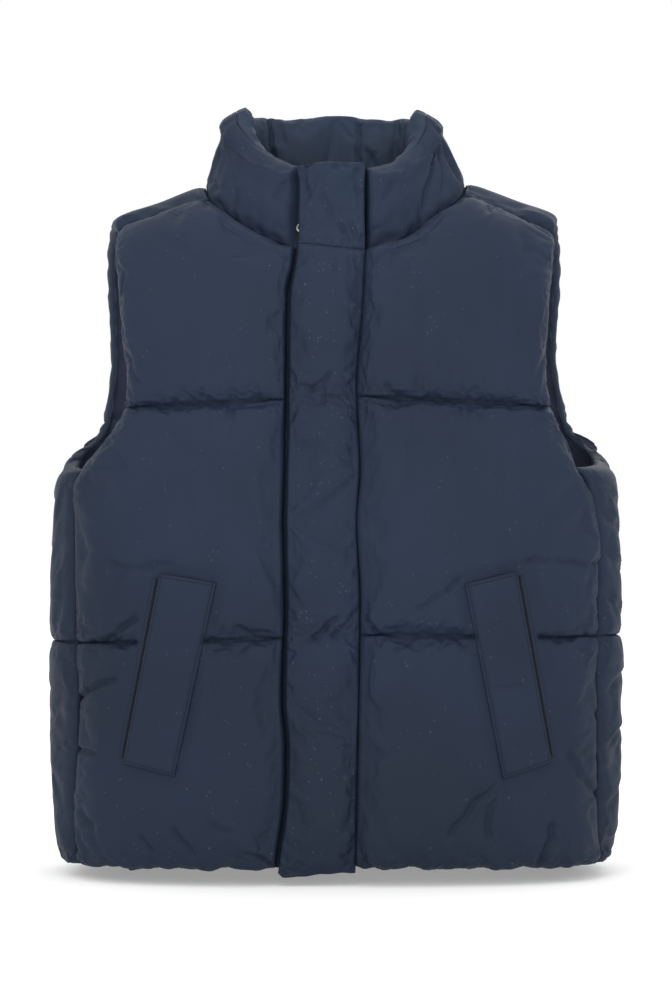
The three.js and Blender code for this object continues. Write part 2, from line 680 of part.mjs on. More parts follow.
function rowIndex(row) {
  return ROWS.findIndex((value) => Math.abs(value - row) < 1e-9);
}

// Places on the wearer's right mirror the turn of those on the left.
function mirrored(side, turn) {
  return side === 'left' ? turn : Math.PI - turn;
}

// Where each point of the back lies, by row and by share of the way from left to right.
function backPlaces() {
  const sides = { left: curveThrough(SIDE_LEFT, 'row'), right: curveThrough(SIDE_RIGHT, 'row') };
  const tips = { left: ARMHOLE_FRONT_LEFT.at(-1), right: ARMHOLE_FRONT_RIGHT.at(-1) };
  const neckPoints = { left: NECKLINE_LEFT.at(-1), right: NECKLINE_RIGHT.at(-1) };
  const scoop = curveThrough(ARMHOLE_SCOOP, 'row');
  const armhole = curveThrough(ARMHOLE_BACK, 'row');
  const neckline = curveThrough(NECKLINE_BACK, 'share');
  // Up to the underarm, from side seam to side seam.
  const lowerPlace = (row, share) => {
    const [left, right] = [sides.left(row), sides.right(row)];
    const [from, to] = [frontPlace(left.x, left.z).turn, frontPlace(right.x, right.z).turn];
    const turn = mix(from, to + FULL_TURN, share);
    const fromSide = Math.min(share, 1 - share);
    const inward = THREE.MathUtils.smoothstep(fromSide, 0, BACK_SETTLES);
    const round = turn * BACK_ROUND;
    const z = mix(mix(left.z, right.z, share), backHeight(row), inward)
      + gathers(round, row, fromSide * FULL_TURN * BACK_ROUND / 2);
    return { turn, reach: reachTo(turn, z) };
  };
  // From the underarm to the chest line, between the armholes.
  const middlePlace = (row, share) => {
    const { turn: edgeTurn, z: edgeZ } = scoop(row);
    const settle = clamp((row - UNDERARM) / (CHEST_LINE - UNDERARM), 0, 1);
    const endTurn = (side, at) => mix(
      lowerPlace(UNDERARM, at).turn, mirrored(side, radians(edgeTurn)), Math.sqrt(settle));
    const turn = mix(endTurn('left', SIDE_SHARE), endTurn('right', 1 - SIDE_SHARE), share);
    const inward = THREE.MathUtils.smoothstep(Math.min(share, 1 - share), 0, YOKE_SETTLES);
    return { turn, reach: reachTo(turn, mix(edgeZ, backHeight(row), inward)) };
  };
  const seamPlace = (side, share) => {
    const x = mix(tips[side].x, neckPoints[side].x, share);
    const z = mix(tips[side].z, neckPoints[side].z, share);
    const { turn, reach } = frontPlace(x, z);
    return { turn: -turn, reach: -reach };
  };
  const yokeEdge = (side, row) => {
    const start = middlePlace(CHEST_LINE, side === 'left' ? 0 : 1);
    const end = seamPlace(side, 0);
    const edge = armhole(row);
    const { reach } = edge;
    const drop = reach < 0 ? 0 : dropOfReach(reach, CAP_BACK);
    const own = { turn: mirrored(side, turnOf(edge[side], drop)), reach };
    const fromStart = clamp((row - CHEST_LINE) / 0.3, 0, 1);
    const toEnd = clamp((row - 2.8) / 0.2, 0, 1);
    return {
      turn: mix(mix(start.turn, own.turn, fromStart), end.turn, toEnd),
      reach: mix(mix(start.reach, own.reach, fromStart), end.reach, toEnd),
    };
  };
  const topPlace = (share) => {
    const side = share < 0.5 ? 'left' : 'right';
    const half = share < 0.5 ? share : 1 - share;
    if (half <= SHOULDER_SHARE) return seamPlace(side, half / SHOULDER_SHARE);
    const corner = seamPlace(side, 1);
    const { x, reach } = neckline(half);
    const settle = clamp((half - SHOULDER_SHARE) / 0.03, 0, 1);
    const turn = mirrored(side, turnOf(x, 0));
    return { turn: mix(corner.turn, turn, settle), reach: mix(corner.reach, reach, settle) };
  };
  // Above the chest line the sheet is blended from its four edges.
  const upperPlace = (row, share) => {
    const up = row - CHEST_LINE;
    const [left, right] = [yokeEdge('left', row), yokeEdge('right', row)];
    const [bottom, top] = [middlePlace(CHEST_LINE, share), topPlace(share)];
    const ends = [middlePlace(CHEST_LINE, 0), middlePlace(CHEST_LINE, 1), topPlace(0), topPlace(1)];
    const blend = (name) => {
      const corners = ends.map((end) => end[name]);
      const flat = mix(mix(corners[0], corners[1], share), mix(corners[2], corners[3], share), up);
      return mix(bottom[name], top[name], up) + mix(left[name], right[name], share) - flat;
    };
    return { turn: blend('turn'), reach: blend('reach') };
  };
  return (row, share) => {
    if (row <= UNDERARM) return lowerPlace(row, share);
    const between = clamp((share - SIDE_SHARE) / (1 - 2 * SIDE_SHARE), 0, 1);
    return row <= CHEST_LINE ? middlePlace(row, between) : upperPlace(row, between);
  };
}

function makeBack() {
  const sheet = layOnBody(ROWS, BACK_STEPS, backPlaces());
  const { points } = sheet;
  const underarm = rowIndex(UNDERARM);
  const lastRow = ROWS.length - 1;
  const lastColumn = BACK_STEPS.length - 1;
  const armholeColumn = SIDE_STEPS.length;
  const shoulderColumn = armholeColumn + HALF_YOKE_STEPS.indexOf(SHOULDER_SHARE);
  for (let row = 0; row <= lastRow; row += 1) {
    const edge = row <= underarm ? 0 : armholeColumn;
    pull(points[row][edge], points[row][edge + 1]);
    pull(points[row][lastColumn - edge], points[row][lastColumn - edge - 1]);
  }
  for (let column = armholeColumn; column <= lastColumn - armholeColumn; column += 1) {
    pull(points[lastRow][column], points[lastRow - 1][column]);
  }
  const column = (index, fromRow, toRow) => points.slice(fromRow, toRow + 1).map((row) => row[index]);
  const under = points[underarm];
  const top = points[lastRow];
  const lines = {
    hem: points[0],
    waist: points[rowIndex(WAIST_LINE)],
    chest: points[rowIndex(CHEST_LINE)].slice(armholeColumn, lastColumn - armholeColumn + 1),
    sides: [column(0, 0, underarm), column(lastColumn, 0, underarm)],
    armholes: [
      [...under.slice(0, armholeColumn), ...column(armholeColumn, underarm, lastRow)],
      [
        ...under.slice(lastColumn - armholeColumn + 1).reverse(),
        ...column(lastColumn - armholeColumn, underarm, lastRow),
      ],
    ],
    shoulders: [
      top.slice(armholeColumn, shoulderColumn + 1),
      top.slice(lastColumn - shoulderColumn, lastColumn - armholeColumn + 1),
    ],
    neckline: top.slice(shoulderColumn, lastColumn - shoulderColumn + 1),
  };
  const thicknessAt = (point, place) => {
    const away = (line) => distanceToLine(point, line);
    const nearest = (pair) => Math.min(away(pair[0]), away(pair[1]));
    const round = place.turn * BACK_ROUND;
    const fromSides = Math.min(round, Math.PI * BACK_ROUND - round);
    const sideways = SIDEWAYS_FILL * Math.exp(-((fromSides / SIDEWAYS_ROUND) ** 2));
    const hem = dome(away(lines.hem), ROUND.hem);
    const swell = dome(nearest(lines.sides), ROUND.side)
      * slopeUp(nearest(lines.armholes), ROUND.armhole)
      * dome(away(lines.chest), ROUND.channel)
      * Math.max(dome(away(lines.waist), ROUND.channel), sideways)
      * slopeUp(away(lines.neckline), ROUND.neck)
      * slopeUp(nearest(lines.shoulders), ROUND.shoulder);
    const crease = creaseDepth(BACK_CREASES, round, point.z) * swell;
    const hemEnd = (1 - hem) * dome(nearest(lines.sides), ROUND.hemEnd);
    const onShoulder = THREE.MathUtils.smoothstep(point.z, SHOULDER_FLAT_FROM, SHOULDER_FLAT_TO);
    return SEAM_WALL + (HEM_WALL - SEAM_WALL) * hemEnd
      + mix(BACK_PUFF, SHOULDER_PUFF, onShoulder) * swell * hem - crease;
  };
  const covers = (row, cell) => row < underarm
    || (cell >= armholeColumn && cell < lastColumn - armholeColumn);
  return {
    neckline: sheet.points[lastRow].map((point, i) => ({ point, normal: sheet.normals[lastRow][i] }))
      .slice(shoulderColumn, lastColumn - shoulderColumn + 1),
    geometry: quiltedWall(sheet, thicknessAt, covers),
  };
}

const back = makeBack();

// ---------------------------------------------------------------- the collar

const NECK_AXIS = new THREE.Vector3(-2, -16, 0);
const COLLAR_ROUND = 100;     // distance round the neck for each radian of turn
const STATION_SPACING = 17;
const OUTWARD_PASSES = 4;     // times the outward directions are smoothed
const RIM_FROM = 0.75;        // share of the rise above which the walls thin to the rim
const COLLAR_ROUNDS = { fromSeam: 32, fromRim: 26 };
const COLLAR_LINING_ROUNDS = { fromSeam: 26, fromRim: 22 };
const FLAP_TOP = 10;          // height of the flap's top

// Stations round the collar seam, from the flap seam past the wearer's left, the back and the
// right to the flap seam again. Each holds the seam's point and the body's outward direction.
function collarStations() {
  const first = rowIndex(NECK_CORNER);
  const edgeOf = ({ sheet }) => sheet.points.slice(first, -1).map((row, i) => (
    { point: row[0].clone(), normal: sheet.normals[first + i][0].clone() }));
  const ring = [...edgeOf(frontLeft), ...back.neckline, ...edgeOf(frontRight).reverse()];
  const stations = [];
  ring.forEach((station, i) => {
    stations.push(station);
    const next = ring[i + 1];
    if (next && next.point.distanceTo(station.point) > STATION_SPACING) {
      stations.push({
        point: station.point.clone().lerp(next.point, 0.5),
        normal: station.normal.clone().lerp(next.normal, 0.5).normalize(),
      });
    }
  });
  stations.forEach((station, i) => {
    const before = stations[Math.max(i - 1, 0)].point;
    const after = stations[Math.min(i + 1, stations.length - 1)].point;
    const along = after.clone().sub(before).setZ(0).normalize();
    station.outward = along.cross(UP);
    const arm = station.point.clone().sub(NECK_AXIS);
    station.turn = Math.atan2(arm.y, arm.x);
    if (i > stations.length / 2 && station.turn < 0) station.turn += FULL_TURN;
  });
  for (let pass = 0; pass < OUTWARD_PASSES; pass += 1) {
    const outwards = stations.map(({ outward }) => outward.clone());
    for (let i = 1; i < stations.length - 1; i += 1) {
      stations[i].outward.add(outwards[i - 1]).add(outwards[i + 1]).normalize();
    }
    for (const end of [stations[0], stations.at(-1)]) end.outward.copy(STRAIGHT_AHEAD);
  }
  return stations;
}

const stations = collarStations();
const collarForm = curveThrough(COLLAR, 'turn');

// The collar's middle surface at one station, from its seam (0) to its rim (1).
function collarPoint(station, share) {
  const { point, normal, outward, turn } = station;
  const { middle, rim, extra } = collarForm(THREE.MathUtils.radToDeg(turn));
  const onBody = Math.max(0, normal.z) * SEAM_WALL;
  const lean = middle * 4 * share * (1 - share) + rim * share ** 2;
  const rise = (COLLAR_RISE + extra) * share;
  return point.clone()
    .addScaledVector(UP, onBody + 2 * SEAM_GAP + rise)
    .addScaledVector(outward, lean - onBody);
}

// Outward direction of the collar's middle surface.
function collarOutward(station, share) {
  const [above, below] = [Math.min(share + 0.03, 1), Math.max(share - 0.03, 0)];
  const up = collarPoint(station, above).sub(collarPoint(station, below));
  const round = UP.clone().cross(station.outward);
  return round.cross(up).normalize();
}

// Distance round the neck from the flap, nought where the flap covers the collar.
function clearOfFlap(station, i) {
  const onLeft = i < stations.length / 2;
  const covered = Math.min(flap(station.point.z).free, flap(FLAP_TOP).free) - FLAP_MARGIN;
  const past = onLeft ? station.point.x - stations[0].point.x : covered - station.point.x;
  const behind = station.point.y - stations[0].point.y - FLAP_MARGIN;
  return Math.hypot(Math.max(0, past), Math.max(0, behind));
}

// One side of the collar's padding: swelling by height over the seam, less its creases.
function collarPadding(station, share, { puff, fromSeam, fromRim, creases }) {
  const { extra } = collarForm(THREE.MathUtils.radToDeg(station.turn));
  const height = (COLLAR_RISE + extra) * share;
  const swell = slopeUp(height, fromSeam) * dome(COLLAR_RISE + extra - height, fromRim);
  return (puff - creaseDepth(creases, station.turn * COLLAR_ROUND, height)) * swell;
}

function collarWallAt(share) {
  return mix(SEAM_WALL, RIM_WALL, clamp((share - RIM_FROM) / (1 - RIM_FROM), 0, 1));
}

function collarThickness(station, i, share) {
  const padding = collarPadding(station, share, {
    puff: COLLAR_PUFF, ...COLLAR_ROUNDS, creases: COLLAR_CREASES,
  });
  return collarWallAt(share) + padding * dome(clearOfFlap(station, i), ROUND.flap);
}

function collarLiningThickness(station, share) {
  return collarWallAt(share) + collarPadding(station, share, {
    puff: COLLAR_LINING_PUFF, ...COLLAR_LINING_ROUNDS, creases: COLLAR_LINING_CREASES,
  });
}

// A stretch of collar wall between two distances out from its middle surface.
function collarWall(nearAt, farAt) {
  const sheetAt = (distanceAt) => COLLAR_STEPS.map((share) => stations.map((station, i) => (
    collarPoint(station, share)
      .addScaledVector(collarOutward(station, share), distanceAt(station, i, share)))));
  return wall(sheetAt(nearAt), sheetAt(farAt), { guide: sheetAt(() => 0) });
}

const collarOuter = collarWall(() => SEAM_GAP, collarThickness);
const collarInner = collarWall(
  () => -SEAM_GAP, (station, i, share) => -collarLiningThickness(station, share));

// ---------------------------------------------------------------- the storm flap

const FLAP_WIDTH = 62;
const FLAP_ROUND = 40;        // its padding is full this far from a stitched line
const FLAP_LINE_FILL = 3;     // the lines over it are shallow, as if this far away
const FLAP_STEPS = [0, 0.04, 0.12, 0.28, 0.5, 0.72, 0.88, 0.96, 1];

function flapLift(share) {
  return LAY_GAP + FLAP_LIFT * share ** 1.3;
}

// Swelling of the flap: across it, and beside the line at the given distance.
function flapThickness(share, fromLine) {
  const across = dome(Math.min(share, 1 - share) * FLAP_WIDTH, FLAP_WIDTH * 0.4);
  return FLAP_EDGE + FLAP_PUFF * across * dome(fromLine + FLAP_LINE_FILL, FLAP_ROUND);
}

// The lower flap lies on the right front, hem to collar seam.
function makeLowerFlap() {
  const rows = ROWS.filter((row) => row <= NECK_CORNER);
  const stitched = [HEM, WAIST_LINE, CHEST_LINE, NECK_CORNER].map(frontHeight);
  const near = [];
  const far = [];
  for (const row of rows) {
    const level = frontHeight(row);
    const nearRow = [];
    const farRow = [];
    for (const share of FLAP_STEPS) {
      const low = (FLAP_DROP - FLAP_SLOPE * (1 - share)) * clamp(1 - row, 0, 1);
      const z = level - low - 2 * SEAM_GAP * clamp(row - CHEST_LINE, 0, 1);
      const edges = flap(z);
      const x = mix(edges.seam - SEAM_GAP, edges.free, share);
      const fromLine = Math.min(...stitched.map((line) => Math.abs(level - line)));
      const { point, normal } = placeUnder(x, z, () => 0);
      const foot = SEAM_WALL + flapLift(share);
      nearRow.push(point.clone().addScaledVector(normal, foot));
      farRow.push(point.clone().addScaledVector(normal, foot + flapThickness(share, fromLine)));
    }
    near.push(nearRow);
    far.push(farRow);
  }
  return wall(near, far);
}

// A point of the collar's thin stretch under the flap, by x along the seam.
function underFlapStation(x) {
  let i = stations.length - 1;
  while (stations[i - 1].point.x > x) i -= 1;
  const from = stations[i];
  const to = stations[i - 1];
  const t = (from.point.x - x) / (from.point.x - to.point.x);
  return {
    point: from.point.clone().lerp(to.point, t),
    normal: from.normal.clone().lerp(to.normal, t).normalize(),
    outward: from.outward.clone().lerp(to.outward, t).normalize(),
    turn: mix(from.turn, to.turn, t),
  };
}

// The upper flap lies on the collar, collar seam to rim.
function makeUpperFlap() {
  const near = [];
  const far = [];
  for (const height of COLLAR_STEPS) {
    const fromLine = Math.min(height, 1 - height) * COLLAR_RISE;
    const edges = flap(mix(frontHeight(NECK_CORNER), FLAP_TOP, height));
    const nearRow = [];
    const farRow = [];
    for (const share of FLAP_STEPS) {
      const station = underFlapStation(mix(edges.seam - SEAM_GAP, edges.free, share));
      const point = collarPoint(station, height);
      const outward = collarOutward(station, height);
      const lift = SEAM_WALL + flapLift(share);
      nearRow.push(point.clone().addScaledVector(outward, lift));
      farRow.push(point.clone().addScaledVector(outward, lift + flapThickness(share, fromLine)));
    }
    near.push(nearRow);
    far.push(farRow);
  }
  return wall(near, far);
}

// ---------------------------------------------------------------- pockets and snap

// A flat piece on a front: a grid over its outline, laid on the panel's outer points.
function layOnFront(front, outlineAt, acrossSteps, downSteps, liftAt, thickness) {
  const near = [];
  const far = [];
  for (const down of downSteps) {
    const spots = acrossSteps.map((across) => {
      const { x, z } = outlineAt(across, down);
      return placeUnder(x, z, (point) => front.thicknessAt(point) + liftAt(across));
    });
    near.push(spots.map(({ point, normal, lift }) => point.clone().addScaledVector(normal, lift)));
    far.push(spots.map(({ point, normal, lift }) => (
      point.clone().addScaledVector(normal, lift + thickness))));
  }
  return wall(near, far);
}

function weltOutline(welt) {
  return (across, down) => {
    const edge = (top, foot, i) => mix(top[i], foot[i], down);
    const outer = [0, 1].map((i) => edge(welt.outerTop, welt.outerFoot, i));
    const inner = [0, 1].map((i) => edge(welt.innerTop, welt.innerFoot, i));
    return { x: mix(outer[0], inner[0], across), z: mix(outer[1], inner[1], across) };
  };
}

const WELT_ACROSS = [0, 0.1, 0.35, 0.65, 0.9, 1];
const WELT_ROWS = 13;
const WELT_DOWN = Array.from({ length: WELT_ROWS + 1 }, (_, i) => i / WELT_ROWS);
const FACING_UNDER = 0.5;     // share of the facing that the welt covers
const FACING_INSET = 0.03;    // the facing stops this share short of the welt's ends

function makeWelt(front, welt) {
  const liftAt = (across) => LAY_GAP + (FACING_WALL + LAY_GAP) * (1 - across);
  return layOnFront(front, weltOutline(welt), WELT_ACROSS, WELT_DOWN, liftAt, WELT_WALL);
}

function makeFacing(front, welt) {
  const outline = weltOutline(welt);
  const width = Math.abs(welt.outerTop[0] - welt.innerTop[0]);
  const facing = (across, down) => outline(
    (FACING_UNDER - across) * (FACING_WIDTH / width), mix(FACING_INSET, 1 - FACING_INSET, down));
  return layOnFront(front, facing, [0, 0.5, 1], WELT_DOWN, () => LAY_GAP, FACING_WALL);
}

// One snap under the flap's free edge, on the collar, of which the edge shows.
function makeSnap() {
  const height = SNAP_RISE / COLLAR_RISE;
  const { free } = flap(frontHeight(NECK_CORNER) + SNAP_RISE);
  const station = underFlapStation(free + SNAP_RADIUS - SNAP_SHOWING);
  const outward = collarOutward(station, height);
  const geometry = new THREE.CylinderGeometry(SNAP_RADIUS, SNAP_RADIUS, SNAP_HEIGHT, 20);
  const mesh = new THREE.Mesh(geometry, metal);
  mesh.quaternion.setFromUnitVectors(new THREE.Vector3(0, 1, 0), outward);
  mesh.position.copy(collarPoint(station, height))
    .addScaledVector(outward, SEAM_WALL + LAY_GAP + SNAP_HEIGHT / 2);
  return mesh;
}

// ---------------------------------------------------------------- materials and nodes

const shell = new THREE.MeshStandardMaterial({ color: 0x2e394d, roughness: 0.62, metalness: 0 });
const lining = new THREE.MeshStandardMaterial({ color: 0x283246, roughness: 0.7, metalness: 0 });
const metal = new THREE.MeshStandardMaterial({ color: 0xb9bcc0, roughness: 0.3, metalness: 1 });

const vest = new THREE.Group();

function addNode(name, mesh) {
  mesh.name = name;
  vest.add(mesh);
}

addNode('front_right', new THREE.Mesh(frontRight.geometry, shell));
addNode('front_left', new THREE.Mesh(frontLeft.geometry, shell));
addNode('back', new THREE.Mesh(back.geometry, shell));
addNode('collar_outer', new THREE.Mesh(collarOuter, shell));
addNode('collar_inner', new THREE.Mesh(collarInner, lining));
addNode('placket_lower', new THREE.Mesh(makeLowerFlap(), shell));
addNode('placket_upper', new THREE.Mesh(makeUpperFlap(), shell));
addNode('welt_right', new THREE.Mesh(makeWelt(frontRight, WELT_RIGHT), shell));
addNode('welt_left', new THREE.Mesh(makeWelt(frontLeft, WELT_LEFT), shell));
addNode('pocket_facing_right', new THREE.Mesh(makeFacing(frontRight, WELT_RIGHT), lining));
addNode('pocket_facing_left', new THREE.Mesh(makeFacing(frontLeft, WELT_LEFT), lining));
addNode('snap', makeSnap());

export default vest;
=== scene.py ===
"""A padded sleeveless jacket: quilted fronts and back, stand collar, storm flap, two welt pockets.

Lengths in the tables are millimetres in the frame of the part: +Z up, the front faces -Y, the
origin in the middle of the neck's base. Meshes are made in metres.
"""

import math
from types import SimpleNamespace

import bmesh
import bpy
import numpy as np
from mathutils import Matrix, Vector


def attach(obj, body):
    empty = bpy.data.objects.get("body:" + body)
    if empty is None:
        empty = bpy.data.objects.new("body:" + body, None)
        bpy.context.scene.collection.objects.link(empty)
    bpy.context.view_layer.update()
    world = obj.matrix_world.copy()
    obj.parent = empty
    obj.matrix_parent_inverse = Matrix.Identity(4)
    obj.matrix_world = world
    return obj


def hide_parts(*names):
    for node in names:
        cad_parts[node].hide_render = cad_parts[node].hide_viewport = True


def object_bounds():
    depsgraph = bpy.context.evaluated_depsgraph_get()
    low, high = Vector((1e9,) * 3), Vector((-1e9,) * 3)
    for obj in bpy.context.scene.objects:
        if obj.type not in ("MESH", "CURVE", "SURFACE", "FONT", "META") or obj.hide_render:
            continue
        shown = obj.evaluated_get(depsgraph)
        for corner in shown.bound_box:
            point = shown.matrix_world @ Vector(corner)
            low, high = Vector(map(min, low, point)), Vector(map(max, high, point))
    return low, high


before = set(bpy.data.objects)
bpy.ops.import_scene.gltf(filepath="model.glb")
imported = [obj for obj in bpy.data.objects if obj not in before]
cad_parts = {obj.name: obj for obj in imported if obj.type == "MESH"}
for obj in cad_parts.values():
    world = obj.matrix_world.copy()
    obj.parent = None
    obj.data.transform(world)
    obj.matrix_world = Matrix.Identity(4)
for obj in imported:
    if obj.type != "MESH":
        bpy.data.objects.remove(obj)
CAD_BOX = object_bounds()

bl_info = {
    "name": "Padded Vest",
    "version": (1, 0, 0),
    "blender": (4, 5, 0),
    "location": "View3D > Sidebar > Vest",
    "description": "A padded sleeveless jacket with a stand collar, storm flap and welt pockets",
    "category": "Object",
}

MM = 0.001
UP = np.array([0.0, 0.0, 1.0])
QUARTER = math.pi / 2
FULL_TURN = 2 * math.pi
NEARLY = 1e-9

# ---------------------------------------------------------------- fixed dimensions, mm

# Walls and gaps.
SEAM_WALL = 4.0  # a padded wall where it is stitched flat
HEM_WALL = 12.0  # wall at the turned hem
RIM_WALL = 3.0  # wall at the collar's rim
WELT_WALL = 2.6
FACING_WALL = 1.2
LOWEST_PADDING = 1.2  # folds never press the padding thinner than this
SEAM_GAP = 0.25  # each piece stops this far short of a seam
LAY_GAP = 0.5  # clearance under a piece that lies on another

# The body's form under the cloth.
NECK_HALF = 108.0  # half of the neck's width at the shoulder line
RIDGE_ROUND = 12.0  # how softly the shoulder line bends at the neck
RIDGE_TOP = -0.5
SHOULDER_FALL = 0.415  # fall of the shoulder line for each mm sideways
SHOULDER_TILT = 0.012  # the left shoulder is this much higher
CAP_FRONT = 150.0  # drop over which the cloth rounds over the shoulder
CAP_BACK = 90.0
CAP_LENGTHENING = 40.0
RING_POWER = 2.8  # 2 would be an ellipse; more is squarer
LEVEL_FROM = 260.0  # below this drop the rings round the body are level

# Padding.
SHOULDER_PUFF = 2.2  # swelling over the shoulders, where the cloth is pulled flat
SHOULDER_FLAT = (-70.0, -20.0)  # heights between which the back grows flat
INSIDE_LIFT = 3.4  # the back's gathered inner side stands off at most this far
BACK_PUFF_LESS = 1.4  # the back is this much thinner than the fronts
BACK_ROUND = 240.0  # distance round the body for each radian of turn
SIDEWAYS_LESS = 0.34  # share by which the back's padding thins round each side
SIDEWAYS_ROUND = 80.0  # how far round from the side it does
BRIDGE = (0.5, 8.0)  # distances from a welt over which its quilting line begins
SIDE_SETTLE = 0.34  # share of the back over which its lines settle from the side seams
SCOOP_SETTLE = 0.12  # and from the armholes' lower edges
NECK_SETTLE = 0.03  # and the neckline from the shoulder seam
YOKE_LEAVE = 0.3  # part of a row in which the armhole's edge leaves its lower end
YOKE_ARRIVE = (2.8, 0.2)  # the row from which it nears its upper end, and in how much of a row
GATHER_SHARE = 0.18  # share of the lowest channel that the hem's gathers reach up
# How far in from each kind of line the padding takes to reach its full height.
ROUND = {
    "side": 12, "armhole": 15, "channel": 9, "flap": 10, "neck": 14, "shoulder": 11, "hem": 10,
    "hem_end": 12, "front_shoulder": 44,
}
# Share of the padding left right at each kind of line.
CHANNEL_FILL = 0.65
SIDE_FILL = 0.5
EDGE_FILL = 0.2  # the armholes' turned edges
FLAP_SIDE_FILL = 0.62  # beside the flap's free edge
CENTRE_FILL = 0.3  # the flap's seam
SHOULDER_FILL = 0.14
FLAP_TUCK = (0, 2.2)  # and beside the flap the padding ends in this distance

# Creases, folds and the swelling of the cloth.
CREASE = 1.5  # depth of the sharp crease right at a stitched line
CREASE_HALF = 1.6  # and its half width
FOLD_NARROW = 0.9  # share of the tables' half widths
FOLD_WAVER = 0.35  # how far a fold wavers, as a share of its half width
FOLD_WIDE_SHARE = 0.28  # share of its depth that is wide and soft
FOLD_BANK = 0.3  # height of the bank beside it, as a share of its depth
RIPPLE_WAVES = 9  # waves that are added up in one pattern of ripples
GATHER_REACH = 9  # distance from a stitched line at which puckers are tallest
SEAM_FINENESS = 0.55  # points stand this much closer beside a stitched line
SEAM_BAND = 17.0  # within this distance of it
CHANNEL_HEIGHT = 205  # about, for the spacing of rows
FRONT_WIDTH = 235  # about, for the spacing of columns
BACK_WIDTH = 880
BACK_COARSER = 1.6
INNER_STEP = 2  # the inner side of a wall has one point for this many of the outer side
SWELL_FRAMES = 20
SWELL_PRESSURE = 4.0
SPARE_CLOTH = 0.04  # share by which the cloth of a channel is longer than its place
SWELL_ROOM = 3.6  # no point of the fronts and back swells further than this
COLLAR_ROOM = 3.0  # nor of the collar
FLAP_ROOM = 2.5  # nor of the flap
EDGE_ROOM = 0.3  # share of that beside an outer edge
EDGE_CALM = (2, 26)  # distances from the edge over which the room grows to the whole

# First seed of each set of random draws.
SEEDS = {
    "front_right": 4, "front_left": 24, "front_drift": 53, "front_waves": 59, "back": 71,
    "yoke": 78, "back_ripples": 81, "back_drift": 97, "collar": 120, "flap_sides": 140,
    "flap_lines": 150, "flap_waves": 160, "armhole_inside": 211, "welt": 301,
}

# Collar.
COLLAR_RISE = 76.0
COLLAR_PUFF = 15.0
COLLAR_LINING_PUFF = 9.0
COLLAR_LOWEST = 1.0  # folds never press the collar thinner than this
COLLAR_SEAM_ROUND, COLLAR_RIM_ROUND = 30, 10
LINING_SEAM_ROUND, LINING_RIM_ROUND = 14, 8
COLLAR_SEAM_PINCHES, COLLAR_RIM_PINCHES = (8, 18, 1.7), (9, 12, 0.8)
COLLAR_STATIONS = 4  # stations of the fine collar for each of the coarse one
COLLAR_SINK = 3.0  # the collar's foot goes this far down behind the seam's fold
COLLAR_ROUND = 100.0  # distance round the neck for each radian of turn
NECK_AXIS = np.array([-2.0, -16.0, 0.0])
STATION_SPACING = 17.0
RIM_FROM = 0.75  # share of the rise from which the wall thins towards the rim

# Storm flap.
FLAP_WIDTH = 62.0
FLAP_TOP = 10.0  # height at which its width over the collar is read from the table
FLAP_PUFF = 4.3
FLAP_EDGE = 8.5  # thickness at its edges
FLAP_LIFT = 3.0  # how far its free edge stands off the cloth below
FLAP_MARGIN = 3.0  # padding under the flap ends this far inside its free edge
FLAP_ROUND = 26.0
FLAP_LINE_FILL = 3.0
FLAP_END = ([0, 0.3, 0.55, 0.8, 0.93, 1], [3.6, 4.0, 5.4, 7.4, 7.0, 3.6])  # below the hem
FLAP_UNEVEN = 0.45  # waves of its lower end
FLAP_SIDE_PINCHES, FLAP_LINE_PINCHES = (12, 18, 1.1), (8, 16, 1.2)
FLAP_SIDE_ROUND = 0.2  # share of its width over which its sides round down
FLAP_FINER = 0.7
FLAP_SEAM_DROP = (5.5, 1.2)  # how far the seam across it slopes below the collar's seam
FLAP_OVERLAP = 1.0  # its lower end lies this far over the left front's edge
FLAP_BLEND = 0.4  # share of the collar's height in which it leaves the seam's slope

# Pockets, stitches and snap.
FACING_WIDTH = 9.0
FACING_UNDER = 0.5  # share of the facing that lies under the welt
FACING_INSET = 0.03  # share of the welt's length left free at each end
WELT_FULLNESS = 1.1  # the welt's middle stands this much over its edges
STITCH_INSET = 2.4  # from a welt's edge to its stitching
STITCH_WIDTH = 0.95
STITCH_HEIGHT = 0.5
SNAP_RADIUS = 5.0
SNAP_HEIGHT = 1.6
SNAP_RISE = 15.0  # over the collar's seam
SNAP_SHOWING = 3.4  # how much of it shows past the flap's free edge
SNAP_LIFT = 1.6
# Radius and height as shares, from the middle of its foot over the rim to the middle of its top.
SNAP_PROFILE = (
    (0.0, 0.0), (1.0, 0.0), (1.0, 0.45), (0.93, 0.8), (0.8, 1.0), (0.62, 0.94), (0.5, 0.7),
    (0.3, 0.62), (0.0, 0.6),
)

# Stage. The camera and the lights are in metres.
FLOOR_BELOW = 6.0  # the floor lies this far under the lowest cloth
FLOOR_RADIUS = 30.0  # m
FLOOR_GLOW = 0.25
SKY_STRENGTH = 1.0
CAMERA_BACK = 2.6  # in front of the neck's middle
CAMERA_HEIGHT = -0.293
CAMERA_LENS = 100.9
# Name, place and aim, width, power in watts.
LIGHTS = (
    ("key", (-1.1, -2.6, 1.7), (0.0, 0.0, -0.25), 1.6, 16.0),
    ("front", (0.5, -3.0, 0.3), (0.0, 0.0, -0.3), 2.2, 14.0),
    ("top", (0.2, -0.2, 2.2), (0.0, 0.0, -0.3), 1.8, 10.0),
    ("rear", (0.8, 2.8, 1.2), (0.0, 0.0, -0.3), 2.0, 14.0),
)

# Where a row of cloth lies, from 0 at the hem up to 3 at the shoulder seam.
HEM, WAIST_LINE, UNDERARM, CHEST_LINE, NECK_CORNER, SHOULDER = 0, 1, 1.62, 2, 2.45, 3

